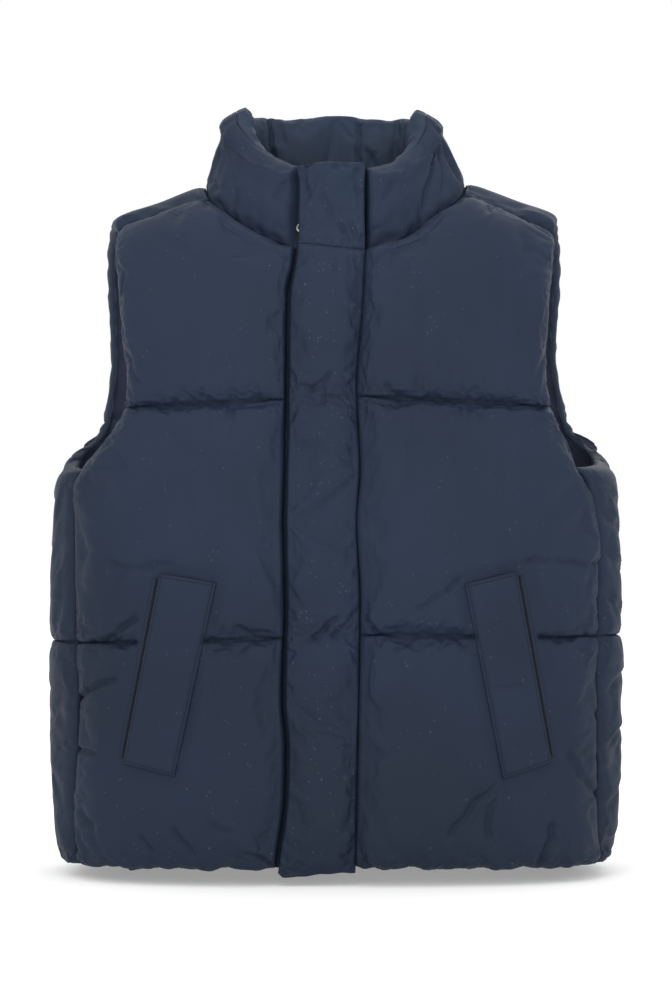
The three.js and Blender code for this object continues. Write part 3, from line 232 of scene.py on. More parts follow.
CHANNEL_STEPS = [0, 0.03, 0.09, 0.18, 0.3, 0.45, 0.62, 0.78, 0.9, 0.97]
YOKE_STEPS = [0, 0.03, 0.08, 0.15, 0.24, 0.34, 0.45, 0.55, 0.65, 0.75, 0.84, 0.91, 0.96, 1]
ROWS = (
    CHANNEL_STEPS
    + [WAIST_LINE + step for step in CHANNEL_STEPS]
    + [CHEST_LINE + step for step in YOKE_STEPS]
)
SEAM_ROWS = (HEM, WAIST_LINE, CHEST_LINE, SHOULDER)
FLAPPED_STEPS = [0, 0.12, 0.235, 0.25, 0.28, 0.33, 0.39, 0.46, 0.54, 0.62, 0.7, 0.78, 0.85,
                 0.9, 0.94, 0.97, 0.99, 1]
UNDER_FLAP = 0.235
OPEN_STEPS = [0, 0.015, 0.045, 0.09, 0.15, 0.22, 0.3, 0.38, 0.46, 0.54, 0.62, 0.7, 0.78,
              0.85, 0.9, 0.94, 0.975, 1]
HALF_YOKE_STEPS = [0, 0.008, 0.02, 0.036, 0.053, 0.07, 0.1, 0.135, 0.16, 0.19, 0.23, 0.27, 0.32,
                   0.375, 0.435]
SHOULDER_SHARE = 0.07  # share of the back, at each side, that ends at the shoulder seam
SIDE_SHARE = 0.165  # share of the back, at each side, that ends at the underarm
SIDE_STEPS = [0, 0.008, 0.02, 0.04, 0.065, 0.095, 0.13]
YOKE_STEPS_ACROSS = HALF_YOKE_STEPS + [0.5] + [1 - step for step in reversed(HALF_YOKE_STEPS)]
BACK_STEPS = (
    SIDE_STEPS
    + [SIDE_SHARE + (1 - 2 * SIDE_SHARE) * step for step in YOKE_STEPS_ACROSS]
    + [1 - step for step in reversed(SIDE_STEPS)]
)
COLLAR_STEPS = [0, 0.07, 0.2, 0.38, 0.57, 0.76, 0.9, 0.97, 1]
FLAP_STEPS = [0, 0.04, 0.12, 0.28, 0.5, 0.72, 0.88, 0.96, 1]

# ---------------------------------------------------------------- tables, mm

# Drop below the shoulder line: half width, front and back of the body's inner side.
BODY = [
    (0, 228, 97, 90), (100, 233, 100, 92), (200, 236, 102, 94), (264, 236, 102, 94),
    (345, 239, 102, 93), (418, 241, 101, 92), (510, 240, 101, 92), (584, 236, 98, 90),
    (640, 230, 93, 86),
]
# Height: free edge and seam of the storm flap, seen from the front.
FLAP = [
    (-626, -52, 16), (-600, -48.5, 17), (-550, -42, 18), (-506, -41, 19), (-465, -44, 20),
    (-377, -42, 21), (-307, -43, 18), (-263, -42, 21), (-193, -41, 18), (-114, -40, 24),
    (-68, -33, 26), (-14, -33, 25), (14, -36, 28),
]
# Row: x and z of an edge, seen from the front.
SIDE_RIGHT = [
    (HEM, -219, -616), (0.3, -222, -556), (0.7, -219, -477), (WAIST_LINE, -221, -417),
    (1.3, -222, -342), (1.5, -222, -292), (UNDERARM, -220, -262),
]
SIDE_LEFT = [
    (HEM, 223, -616), (0.3, 222, -556), (0.7, 222, -474), (WAIST_LINE, 222, -411),
    (1.3, 223, -338), (1.5, 217, -288), (UNDERARM, 208, -260),
]
ARMHOLE_FRONT_RIGHT = [
    (UNDERARM, -220, -262), (1.78, -206, -243), (1.9, -192, -224), (CHEST_LINE, -184, -208),
    (2.15, -182, -186), (NECK_CORNER, -186, -147), (2.75, -191, -96), (SHOULDER, -197, -48),
]
ARMHOLE_FRONT_LEFT = [
    (UNDERARM, 208, -260), (1.78, 201, -241), (1.9, 193, -224), (CHEST_LINE, 187, -207),
    (2.15, 183, -184), (NECK_CORNER, 184, -145), (2.75, 188, -97), (SHOULDER, 196, -52),
]
NECKLINE_RIGHT = [
    (NECK_CORNER, 26, -68), (2.65, -40, -66), (2.75, -62, -57), (2.84, -84, -45),
    (2.93, -103, -31), (SHOULDER, -114, -21),
]
NECKLINE_LEFT = [
    (NECK_CORNER, 26, -68), (2.65, 58, -59), (2.8, 82, -43), (2.92, 103, -28),
    (SHOULDER, 114, -18),
]
# The back's armhole edge up to the chest line: row, turn from straight sideways, height.
ARMHOLE_SCOOP = [
    (UNDERARM, 14, -252.4), (1.78, 21, -246), (1.9, 28, -237), (1.97, 32, -227),
    (CHEST_LINE, 34, -216),
]
# The same edge on over the shoulder: row, x on the left and right, reach behind the ridge.
ARMHOLE_BACK = [
    (2.05, 209, 211, 232), (2.34, 203, 207, 158), (2.6, 205, 208, 85), (2.8, 203, 206, 25),
    (2.91, 200, 203, -12), (SHOULDER, 196, 197, -45),
]
# Row: height at the flap's seam, and at the middle of the back.
FRONT_MIDDLE = [(HEM, -613), (WAIST_LINE, -408), (CHEST_LINE, -198), (NECK_CORNER, -68)]
BACK_MIDDLE = [(HEM, -616), (WAIST_LINE, -412), (UNDERARM, -243), (CHEST_LINE, -205)]
# The back's neckline, shoulder seam to middle: share, x, reach behind the ridge.
NECKLINE_BACK = [
    (SHOULDER_SHARE, 114, -58), (0.1, 118, -28), (0.135, 118, 2), (0.19, 108, 30),
    (0.27, 82, 51), (0.375, 43, 61), (0.5, 0, 64),
]
# Turn round the neck in degrees: lean of the collar's middle and rim, and extra height.
COLLAR = [
    (-110, -6, -16, 0), (-90, -6, -16, 0), (-50, -16, -22, -4), (-20, -25, -32, -10),
    (10, -25, -32, -10), (50, -12, -10, 6), (90, -8, -4, 16), (130, -10, -6, 8),
    (170, -21, -23, -5), (200, -22, -24, -4), (230, -16, -20, -2), (270, -6, -16, 0),
    (290, -6, -16, 0),
]
# Corners of the welts, seen from the front: outer top, inner top, inner foot, outer foot.
WELTS = {
    "right": [(-155, -354), (-105, -362), (-142, -533), (-188, -522)],
    "left": [(159, -352), (113, -363), (147, -535), (190, -521)],
}

# Folds, as troughs: from x, z to x, z, half width, depth. Seen from the front.
FRONT_RIGHT_FOLDS = [
    (-190, -344, -170, -350, 2.3, 3.4), (-170, -350, -137, -344, 2.3, 2.9),
    (-176, -352, -186, -366, 2.3, 2.3), (-197, -416, -167, -390, 2.3, 4.6),
    (-229, -472, -204, -457, 2.6, 5.6), (-206, -457, -184, -447, 2.3, 4.6),
    (-229, -509, -198, -515, 2.3, 4.8), (-85, -399, -73, -409, 2, 3.1),
    (-140, -575, -120, -600, 2.6, 3.6), (-166, -584, -155, -596, 2.3, 3.4),
    (-108, -573, -88, -580, 2.9, 2.3), (-80, -596, -60, -603, 2.3, 3.4),
    (-62, -602, -54, -612, 2, 3.4), (-189, -82, -176, -99, 2.3, 3.1),
    (-176, -99, -184, -113, 2, 2.9), (-181, -156, -166, -187, 2.6, 2.9),
    (-188, -128, -178, -150, 2.3, 2.3), (-112, -190, -115, -201, 2, 2.6),
    (-68, -188, -66, -202, 2, 2.6), (-60, -84, -66, -128, 7.2, 1.4),
    (-52, -100, -56, -150, 6.4, 1.6), (-150, -60, -118, -92, 7.2, 1.4),
    (-196, -232, -176, -262, 2.9, 2.3), (-150, -222, -118, -262, 9.6, 1.2),
    (-60, -232, -78, -300, 9.6, 1.3), (-214, -560, -196, -600, 2.9, 2.6),
    (-64, -430, -82, -470, 7.2, 1.4),
]
FRONT_LEFT_FOLDS = [
    (106, -358, 93, -370, 2.3, 3.4), (93, -370, 68, -386, 2.3, 2.6),
    (160, -344, 182, -341, 2.3, 2.9), (182, -341, 211, -347, 2.3, 3.4),
    (211, -347, 232, -342, 2.3, 2.9), (20, -388, 41, -409, 2.3, 3.9), (65, -412, 50, -425, 2, 2.6),
    (139, -536, 118, -554, 2.6, 3.4), (120, -552, 96, -584, 2.9, 3.6),
    (139, -542, 130, -562, 2.3, 2.9), (130, -560, 130, -586, 2.6, 3.4),
    (196, -512, 206, -536, 2.6, 3.4), (205, -534, 228, -560, 2.6, 3.6),
    (181, -572, 182, -588, 2.6, 4.5), (182, -586, 171, -610, 2.9, 5.2),
    (18, -595, 33, -612, 2.3, 3.4), (42, -186, 56, -201, 2, 3.1), (176, -60, 150, -96, 6.4, 1.4),
    (60, -84, 84, -130, 9.6, 1.3), (158, -62, 166, -92, 6.4, 1.5),
    (184, -150, 166, -190, 2.9, 2.3), (120, -560, 112, -600, 7.2, 1.6),
    (60, -232, 84, -282, 9.6, 1.3), (196, -236, 214, -282, 2.9, 2.6),
    (60, -440, 92, -476, 9.6, 1.3), (206, -300, 216, -330, 2.9, 2.3),
    (30, -560, 52, -600, 6.4, 1.6), (214, -470, 230, -500, 2.9, 2.6),
]
# The same for the welts and for the storm flap.
WELT_FOLDS = {
    "right": [(-128, -470, -112, -476, 2, 0.7), (-160, -392, -146, -388, 2, 0.6)],
    "left": [(134, -455, 174, -452, 2, 1.3), (150, -500, 166, -512, 2, 0.7)],
}
FLAP_FOLDS = [
    (-23, -194, -3, -176, 2, 2.9), (-22, -413, 2, -390, 2, 3.1), (-5, -410, 4, -404, 1.7, 2.3),
    (4, -404, 17, -386, 2, 2.6), (-44, -420, -34, -426, 1.7, 2.1), (3, -600, 13, -612, 2, 2.6),
    (8, -192, 16, -210, 1.7, 1.8), (-12, -186, -10, -206, 1.7, 1.6), (10, -77, 14, -95, 1.7, 2.1),
    (-2, -76, 0, -92, 1.7, 1.6), (-30, -560, -38, -596, 5.6, 1.1), (-20, -440, -30, -470, 5.6, 1),
    (14, -330, 6, -362, 3.5, 1.3), (-34, -300, -26, -330, 5.6, 1), (12, -500, 4, -540, 3.5, 1.3),
]
UPPER_FLAP_FOLDS = [
    (-12, -16, -2, -42, 2.9, 2.3), (2, -40, 14, -66, 2.3, 2.3), (12, -38, 18, -62, 2, 2.1),
    (16, 6, 22, -20, 2.3, 2.1), (-30, -2, -24, -24, 2.9, 1.6),
]
# The same for the back, by distance round the body from straight left, and height.
BACK_FOLDS = [
    (-66, -292, 18, -350, 3.5, 4.4), (-60, -330, 20, -384, 3.5, 4.2),
    (-58, -372, -2, -404, 2.9, 3.6), (-56, -462, 22, -424, 3.5, 4.2),
    (-56, -512, 14, -470, 3.5, 4.4), (-52, -566, 20, -516, 3.5, 4.2),
    (-46, -600, 30, -560, 3.5, 3.6), (-62, -276, -20, -296, 2.9, 3.4),
    (180, -250, 250, -214, 6.4, 3), (300, -424, 340, -470, 5.6, 2.6),
    (420, -396, 480, -356, 6.4, 2.8), (560, -590, 590, -545, 5.6, 2.8),
    (120, -330, 196, -372, 7.2, 2.4), (250, -590, 262, -552, 3.5, 3.4),
    (360, -560, 346, -600, 3.5, 3.1), (480, -440, 440, -490, 6.4, 2.4),
    (200, -430, 236, -470, 5.6, 2.4), (620, -380, 560, -340, 7.2, 2.4),
    (640, -250, 590, -216, 5.6, 2.6), (380, -230, 372, -180, 6.4, 2), (240, -130, 300, -100, 8, 2),
    (470, -120, 520, -150, 8, 2), (150, -560, 110, -600, 5.6, 2.6),
    (700, -340, 786, -286, 3.5, 4.2), (700, -384, 782, -330, 3.5, 4.2),
    (716, -404, 780, -372, 2.9, 3.4), (706, -424, 786, -462, 3.5, 4.2),
    (700, -470, 780, -512, 3.5, 4.2), (700, -520, 778, -566, 3.5, 4.2),
    (690, -566, 770, -600, 3.5, 3.6),
]
# And for the collar, by distance round the neck from straight left, and height over the seam.
COLLAR_FOLDS = [
    (-62, 4, -26, 48, 2.9, 3.4), (-40, 2, -8, 66, 2.9, 3.6), (-18, 4, 0, 60, 2.9, 3.6),
    (-106, 22, -84, 56, 2.9, 2.6), (-130, 6, -122, 22, 2.3, 2.3), (-96, 4, -90, 18, 2.3, 2.1),
    (314, 4, 292, 54, 2.9, 2), (336, 6, 322, 40, 2.9, 1.5), (364, 8, 344, 48, 2.9, 1.2),
    (40, 6, 66, 60, 5.6, 2.4), (118, 4, 104, 62, 5.6, 2.2), (190, 8, 214, 70, 5.6, 2.4),
    (262, 6, 250, 60, 5.6, 2.4), (400, 30, 412, 58, 2.3, 2.6), (426, 6, 432, 24, 2.3, 2.1),
    (-142, 44, -134, 66, 2.3, 2.3),
]
COLLAR_LINING_FOLDS = [
    (127, 0, 125, 88, 2.1, 7.5), (224, 10, 233, 88, 2.1, 6.5), (178, 12, 160, 70, 3.5, 2.6),
    (117, 40, 106, 56, 2, 2.6), (88, 4, 84, 84, 4, 2.4), (100, 30, 118, 60, 2.9, 2.9),
    (214, 60, 226, 84, 2.9, 2.6), (60, 20, 50, 66, 3.5, 2.6), (10, 10, 4, 60, 3.5, 3.1),
    (300, 10, 310, 60, 3.5, 3.1), (-60, 10, -50, 54, 3.5, 2.6), (130, 66, 150, 82, 2.3, 2.1),
]

# ---------------------------------------------------------------- curves and small helpers


def mix(a, b, t):
    """From a at 0 to b at 1."""
    return a + (b - a) * t


def smoothstep(value, low, high):
    """From 0 below the low value to 1 above the high one, with soft ends."""
    t = np.clip((value - low) / (high - low), 0, 1)
    return t * t * (3 - 2 * t)


def unit(vectors):
    """Vectors of the same way and of length 1."""
    return vectors / np.maximum(np.linalg.norm(vectors, axis=-1, keepdims=True), 1e-9)


def curve_through(table):
    """A smooth curve through a table: its other columns as a function of the first."""
    table = np.array(sorted(table), float)
    keys, values = table[:, 0], table[:, 1:]
    rise = np.diff(values, axis=0) / np.diff(keys)[:, None]
    before, after = np.vstack([rise[:1], rise]), np.vstack([rise, rise[-1:]])
    alike = before * after > 0
    slope = np.where(alike, 2 * before * after / np.where(alike, before + after, 1), 0)

    def at(key):
        key = np.clip(np.asarray(key, float), keys[0], keys[-1])
        i = np.clip(np.searchsorted(keys, key) - 1, 0, len(keys) - 2)
        span = keys[i + 1] - keys[i]
        t = (key - keys[i]) / span
        t, span = t[..., None], span[..., None]
        found = (
            (2 * t**3 - 3 * t**2 + 1) * values[i]
            + (t**3 - 2 * t**2 + t) * span * slope[i]
            + (3 * t**2 - 2 * t**3) * values[i + 1]
            + (t**3 - t**2) * span * slope[i + 1]
        )
        return tuple(np.moveaxis(found, -1, 0)) if found.shape[-1] > 1 else found[..., 0]

    return at


def heights_through(table):
    """Straight lines through a table of heights by row; the first and last lines run on."""
    rows, heights = np.array(table, float).T

    def at(row):
        row = np.asarray(row, float)
        i = np.clip(np.searchsorted(rows, row), 1, len(rows) - 1)
        t = (row - rows[i - 1]) / (rows[i] - rows[i - 1])
        return mix(heights[i - 1], heights[i], t)

    return at


def dome(distance, radius):
    """Height of padding beside a stitched line: steep at the line, level at the radius."""
    t = np.clip(1 - distance / radius, 0, 1)
    return np.sqrt(1 - t * t)


def filled(distance, radius, least):
    """The same over a line where some padding is left, so the valley is shallow and narrow."""
    return mix(least, 1, dome(distance, radius))


def slope_up(distance, radius):
    """The same with a gentle foot, for lines where two pieces meet at an angle."""
    t = np.clip(1 - distance / radius, 0, 1)
    return 1 - t * t


def fold_depth(folds, x, z):
    """Depth of soft folds: a wavering trough that tapers to its ends, with a bank on one side."""
    depth = np.zeros(np.shape(x))
    for from_x, from_z, to_x, to_z, width, deep in folds:
        width = FOLD_NARROW * width
        length = math.hypot(to_x - from_x, to_z - from_z)
        reach = length / 2 + 5 * width
        near = np.abs(x - (from_x + to_x) / 2) < reach
        near = near & (np.abs(z - (from_z + to_z) / 2) < reach)
        past_x, past_z = x[near] - from_x, z[near] - from_z
        way_x, way_z = (to_x - from_x) / length, (to_z - from_z) / length
        along = past_x * way_x + past_z * way_z
        aside = past_z * way_x - past_x * way_z
        aside = aside + FOLD_WAVER * width * np.sin(along / (1.6 * width) + from_x)
        beyond = np.maximum(np.maximum(-along, along - length), 0)
        away = np.hypot(aside, beyond)
        trough = ((1 - FOLD_WIDE_SHARE) * np.exp(-((away / width) ** 2))
                  + FOLD_WIDE_SHARE * np.exp(-((away / width / 2.4) ** 2)))
        bank = np.exp(-(((aside - 1.8 * width) / (1.1 * width)) ** 2) - (beyond / width) ** 2)
        ends = np.clip(1.35 - 1.1 * np.abs(2 * along / length - 1) ** 3, 0.2, 1)
        depth[near] += deep * (trough - FOLD_BANK * bank) * ends
    return depth


# How a short fold beside a stitched line is drawn: how often one side has none, how far the
# fold leans from straight out, how often it lies almost along the line instead, and how far
# from the line it starts.
PINCH_MISSING = 0.25
PINCH_LEAN = 1.3
PINCH_FLAT_OFTEN = 0.22
PINCH_FLAT = (1.25, 0.2)
PINCH_START = 1.5
SHORTEST_PINCH = 4


def pinches(line, seed, apart, longest, deepest):
    """Short folds that run out from both sides of a stitched line, at uneven places."""
    draw = np.random.RandomState(seed)
    line = np.asarray(line)
    steps = np.linalg.norm(np.diff(line, axis=0), axis=1)
    along = np.concatenate([[0], np.cumsum(steps)])
    folds = []
    at = 3 + apart * draw.rand()
    while at < along[-1] - 2:
        spot = np.array([np.interp(at, along, line[:, k]) for k in range(2)])
        after = np.array([np.interp(at + 4, along, line[:, k]) for k in range(2)])
        before = np.array([np.interp(at - 4, along, line[:, k]) for k in range(2)])
        way = math.atan2(*(after - before)[::-1])
        size = draw.rand() ** 2
        for side in (1, -1):
            if draw.rand() < PINCH_MISSING:
                continue
            lean = (draw.rand() - 0.5) * PINCH_LEAN
            if draw.rand() < PINCH_FLAT_OFTEN:
                lean = math.copysign(PINCH_FLAT[0] + PINCH_FLAT[1] * draw.rand(), lean)
            angle = way + side * (QUARTER + lean)
            out = np.array([math.cos(angle), math.sin(angle)])
            off = PINCH_START * side * np.array([-math.sin(way), math.cos(way)])
            spare = (longest - SHORTEST_PINCH) * size
            length = SHORTEST_PINCH + spare * (0.6 + 0.4 * draw.rand())
            start, end = spot + off, spot + off + length * out
            width = 1.0 + 0.9 * size + 0.4 * draw.rand()
            folds.append((*start, *end, width, deepest * (0.45 + 0.55 * draw.rand())))
        at += apart * (0.45 + 1.1 * draw.rand())
    return folds


def ripples(u, v, seed, longest=26.0, shortest=9.0):
    """An uneven pattern of small waves along u that drifts slowly with v, from -1 to 1 or so."""
    draw = np.random.RandomState(seed)
    total = 0.0
    for _ in range(RIPPLE_WAVES):
        length = shortest * (longest / shortest) ** draw.rand()
        lean = (draw.rand() - 0.5) * 0.35
        total = total + np.sin(FULL_TURN * (u + lean * v) / length + FULL_TURN * draw.rand())
    patches = 0.0
    for _ in range(4):
        length = 60 + 90 * draw.rand()
        patches = patches + np.sin(FULL_TURN * u / length + FULL_TURN * draw.rand())
    return total / math.sqrt(RIPPLE_WAVES) * np.clip(0.75 + 0.35 * patches, 0.1, 1.6)


def drifting(u, v, seed):
    """Wide slow waves aslant over the whole cloth."""
    return ripples(u * 0.8 + v * 0.6, v * 0.4 - u, seed, 90, 34)


def gathered(distance, reach):
    """How strongly cloth is gathered near a stitched line: none on it, most close by."""
    t = distance / reach
    return t * np.exp(1 - t)


def distance_to_line(points, line):
    """Distance from each point to a line of points."""
    least = np.full(points.shape[:-1], np.inf)
    for start, end in zip(line[:-1], line[1:]):
        along = end - start
        t = np.clip(((points - start) @ along) / max(along @ along, 1e-12), 0, 1)
        gap = points - start - t[..., None] * along
        least = np.minimum(least, np.einsum("...k,...k->...", gap, gap))
    return np.sqrt(least)


def finer(steps, extent, spacing, lines=()):
    """Steps split evenly in even numbers, so that every second one makes a coarser list."""
    made = [steps[0]]
    for low, high in zip(steps, steps[1:]):
        away = [abs((low + high) / 2 - line) * extent for line in lines]
        close = SEAM_FINENESS if away and min(away) < SEAM_BAND else 1
        parts = 2 * max(1, math.ceil((high - low) * extent / (2 * spacing * close)))
        made += [low + (high - low) * k / parts for k in range(1, parts + 1)]
    return np.array(made)


def index_of(steps, value):
    """The number of the step nearest to a value."""
    return int(np.argmin(np.abs(np.asarray(steps) - value)))


# ---------------------------------------------------------------- the body's form

body = curve_through(BODY)
flap = curve_through(FLAP)
front_height = heights_through(FRONT_MIDDLE)
back_height = heights_through(BACK_MIDDLE)


def ridge(x):
    """Height of the shoulder line."""
    past = np.abs(x) - NECK_HALF
    rounded = 0.5 * (past + np.hypot(past, RIDGE_ROUND))
    return RIDGE_TOP - SHOULDER_FALL * rounded + SHOULDER_TILT * x


def height_at(x, drop):
    """Height of a point that lies this far below the shoulder line."""
    share = smoothstep(drop, LEVEL_FROM / 3, LEVEL_FROM)
    return ridge(x) * (1 - share) - drop


def ring_radius(turn):
    """Radius, as a share, of the squarish ring round the body."""
    cos, sin = np.abs(np.cos(turn)) ** RING_POWER, np.abs(np.sin(turn)) ** RING_POWER
    return (cos + sin) ** (-1 / RING_POWER)


def drop_of_reach(reach, cap):
    """The drop where cloth of this length ends that comes over a shoulder's rounding."""
    bend = np.minimum(reach / (cap + CAP_LENGTHENING), 1) * QUARTER
    return cap * (1 - np.cos(bend)) + np.maximum(0, reach - cap - CAP_LENGTHENING)


def reach_of_drop(drop, cap):
    """The length of cloth from the shoulder line down to a drop."""
    over = np.arccos(np.clip(1 - drop / cap, -1, 1)) / QUARTER * (cap + CAP_LENGTHENING)
    return np.where(drop >= cap, drop + CAP_LENGTHENING, over)


def torso(turn, reach):
    """A point on the body's inner side; a negative reach passes over the shoulder line."""
    turn, reach = np.broadcast_arrays(turn, reach)
    turn = np.where(reach < 0, -turn, turn)
    reach = np.abs(reach)
    behind = np.sin(turn) > 0
    cap = np.where(behind, CAP_BACK, CAP_FRONT)
    bend = np.minimum(reach / (cap + CAP_LENGTHENING), 1) * QUARTER
    drop = drop_of_reach(reach, cap)
    half_width, front, back = body(drop)
    depth = np.where(behind, back, front)
    x = half_width * ring_radius(turn) * np.cos(turn)
    y = depth * ring_radius(turn) * np.sin(turn) * np.sin(bend)
    return np.stack([x, y, height_at(x, drop)], axis=-1)


def torso_normal(turn, reach):
    """The way straight out of the body."""
    across = torso(turn + 0.004, reach) - torso(turn - 0.004, reach)
    down = torso(turn, reach + 0.6) - torso(turn, reach - 0.6)
    return unit(np.cross(down, across))


def drop_to(z, x_at):
    """The drop at which the body's height falls to z, where x may depend on the drop."""
    high, low = np.zeros(np.shape(z)), np.full(np.shape(z), 800.0)
    for _ in range(40):
        middle = (high + low) / 2
        above = height_at(x_at(middle), middle) > z
        high, low = np.where(above, middle, high), np.where(above, low, middle)
    return (high + low) / 2


def turn_of(x, drop):
    """The turn at which the body is this far sideways, on its back half."""
    across = np.clip(x / body(drop)[0], -0.999, 0.999)
    return np.arctan2((1 - np.abs(across) ** RING_POWER) ** (1 / RING_POWER), across)


def front_place(x, z):
    """Where a point seen from the front at (x, z) lies on the body."""
    x, z = np.broadcast_arrays(np.asarray(x, float), np.asarray(z, float))
    drop = drop_to(z, lambda _: x)
    return -turn_of(x, drop), reach_of_drop(drop, CAP_FRONT)


def reach_to(turn, z):
    """The reach at which cloth at the given turn comes down to z."""
    turn, z = np.broadcast_arrays(turn, z)
    across = ring_radius(turn) * np.cos(turn)
    drop = drop_to(z, lambda at: across * body(at)[0])
    return reach_of_drop(drop, np.where(np.sin(turn) > 0, CAP_BACK, CAP_FRONT))


def place_under(x, z, lift_at):
    """The body's point over which something lifted off it is seen at (x, z)."""
    aim_x, aim_z = np.array(x, float), np.array(z, float)
    for _ in range(6):
        place = front_place(aim_x, aim_z)
        point, normal = torso(*place), torso_normal(*place)
        lift = lift_at(point)
        aim_x = aim_x + x - point[..., 0] - normal[..., 0] * lift
        aim_z = aim_z + z - point[..., 2] - normal[..., 2] * lift
    return point, normal, lift


def pull(points, edge, inward):
    """Draws an edge of a grid of points back from its seam, towards the next line in."""
    points[edge] += SEAM_GAP * unit(points[inward] - points[edge])


# ---------------------------------------------------------------- cloth laid on the body


def gathers(along, row, from_side):
    """Slow waves of the gathered hem, fading up the cloth and towards the side seam."""
    up = np.clip(1 - row / GATHER_SHARE, 0, 1)
    waves = (0.9 * np.sin(along / 8.3) + 0.7 * np.sin(along / 5.1 + 1.4)
             + 0.5 * np.sin(along / 2.7 + 2 * np.sin(along / 31)))
    return up * up * np.clip(from_side / ROUND["hem_end"] - 1, 0, 1) * waves


def outside_welt(welt, x, z):
    """How far (x, z) is outside a welt's outline; negative inside it."""
    sign = np.sign(welt[1][0] - welt[0][0])
    sides = []
    for (from_x, from_z), (to_x, to_z) in zip(welt, welt[1:] + welt[:1]):
        side = (to_x - from_x) * (z - from_z) - (to_z - from_z) * (x - from_x)
        sides.append(side * sign / math.hypot(to_x - from_x, to_z - from_z))
    return np.max(sides, axis=0)


def held_round(shape):
    """The points of a grid that are held by stitching all round its edge."""
    held = np.zeros(shape, bool)
    held[[0, -1]] = True
    held[:, [0, -1]] = True
    return held


class Sheet:
    """A grid of points on the body's inner side, with the wall's thickness over each."""

    def __init__(self, rows, columns, place):
        self.rows, self.columns = rows, columns
        self.turn, reach = place
        self.points = torso(self.turn, reach)
        self.normals = torso_normal(self.turn, reach)
        self.covered = np.ones((len(rows) - 1, len(columns) - 1), bool)
        self.made_outer = None

    def row_index(self, row):
        return index_of(self.rows, row)

    def set_lines(self, lines):
        """Takes the sheet's seams and edges by name, and pads it between them."""
        self.lines = lines
        self.short = {name: np.vstack([line[:-1:3], line[-1:]]) for name, line in lines.items()}
        self.field = self.field_at(self.points)
        self.thickness = self.thickness_of(self.field)

    def away_at(self, points):
        """Distance to each of the lines."""
        return {name: distance_to_line(points, line) for name, line in self.short.items()}

    def thickness_of(self, field):
        """The padded wall's thickness, with the hem's turned edge."""
        hem_end = (1 - field.hem) * dome(field.hem_side, ROUND["hem_end"])
        foot = SEAM_WALL + (HEM_WALL - SEAM_WALL) * hem_end
        return foot + field.puff * field.full * field.hem

    def calm(self, names):
        """Share of the room to swell that is left beside the named edges."""
        edge = np.min([self.field.away[name] for name in names], axis=0)
        return mix(EDGE_ROOM, 1, smoothstep(edge, *EDGE_CALM))

    def rippled(self, depth, across, first_seed):
        """Adds small puckers beside each line of the table RIPPLES."""
        x, z = self.points[..., 0], self.points[..., 2]
        for seed, (name, tall) in enumerate(self.RIPPLES, first_seed):
            u, v = (across, z) if name in ("waist", "chest", "hem") else (z, x)
            near = gathered(self.field.away[name], GATHER_REACH)
            depth = depth + tall * near * ripples(u, v, seed)
        return depth

    def outer(self):
        """The cloth's outer side, swollen, puckered and creased between its stitched lines."""
        if self.made_outer is None:
            outer = self.points + self.thickness[..., None] * self.normals
            outer = swollen(outer, self.normals, self.held(), self.room(), self.covered)
            self.made_outer = outer - self.relief()[..., None] * self.normals
        return self.made_outer


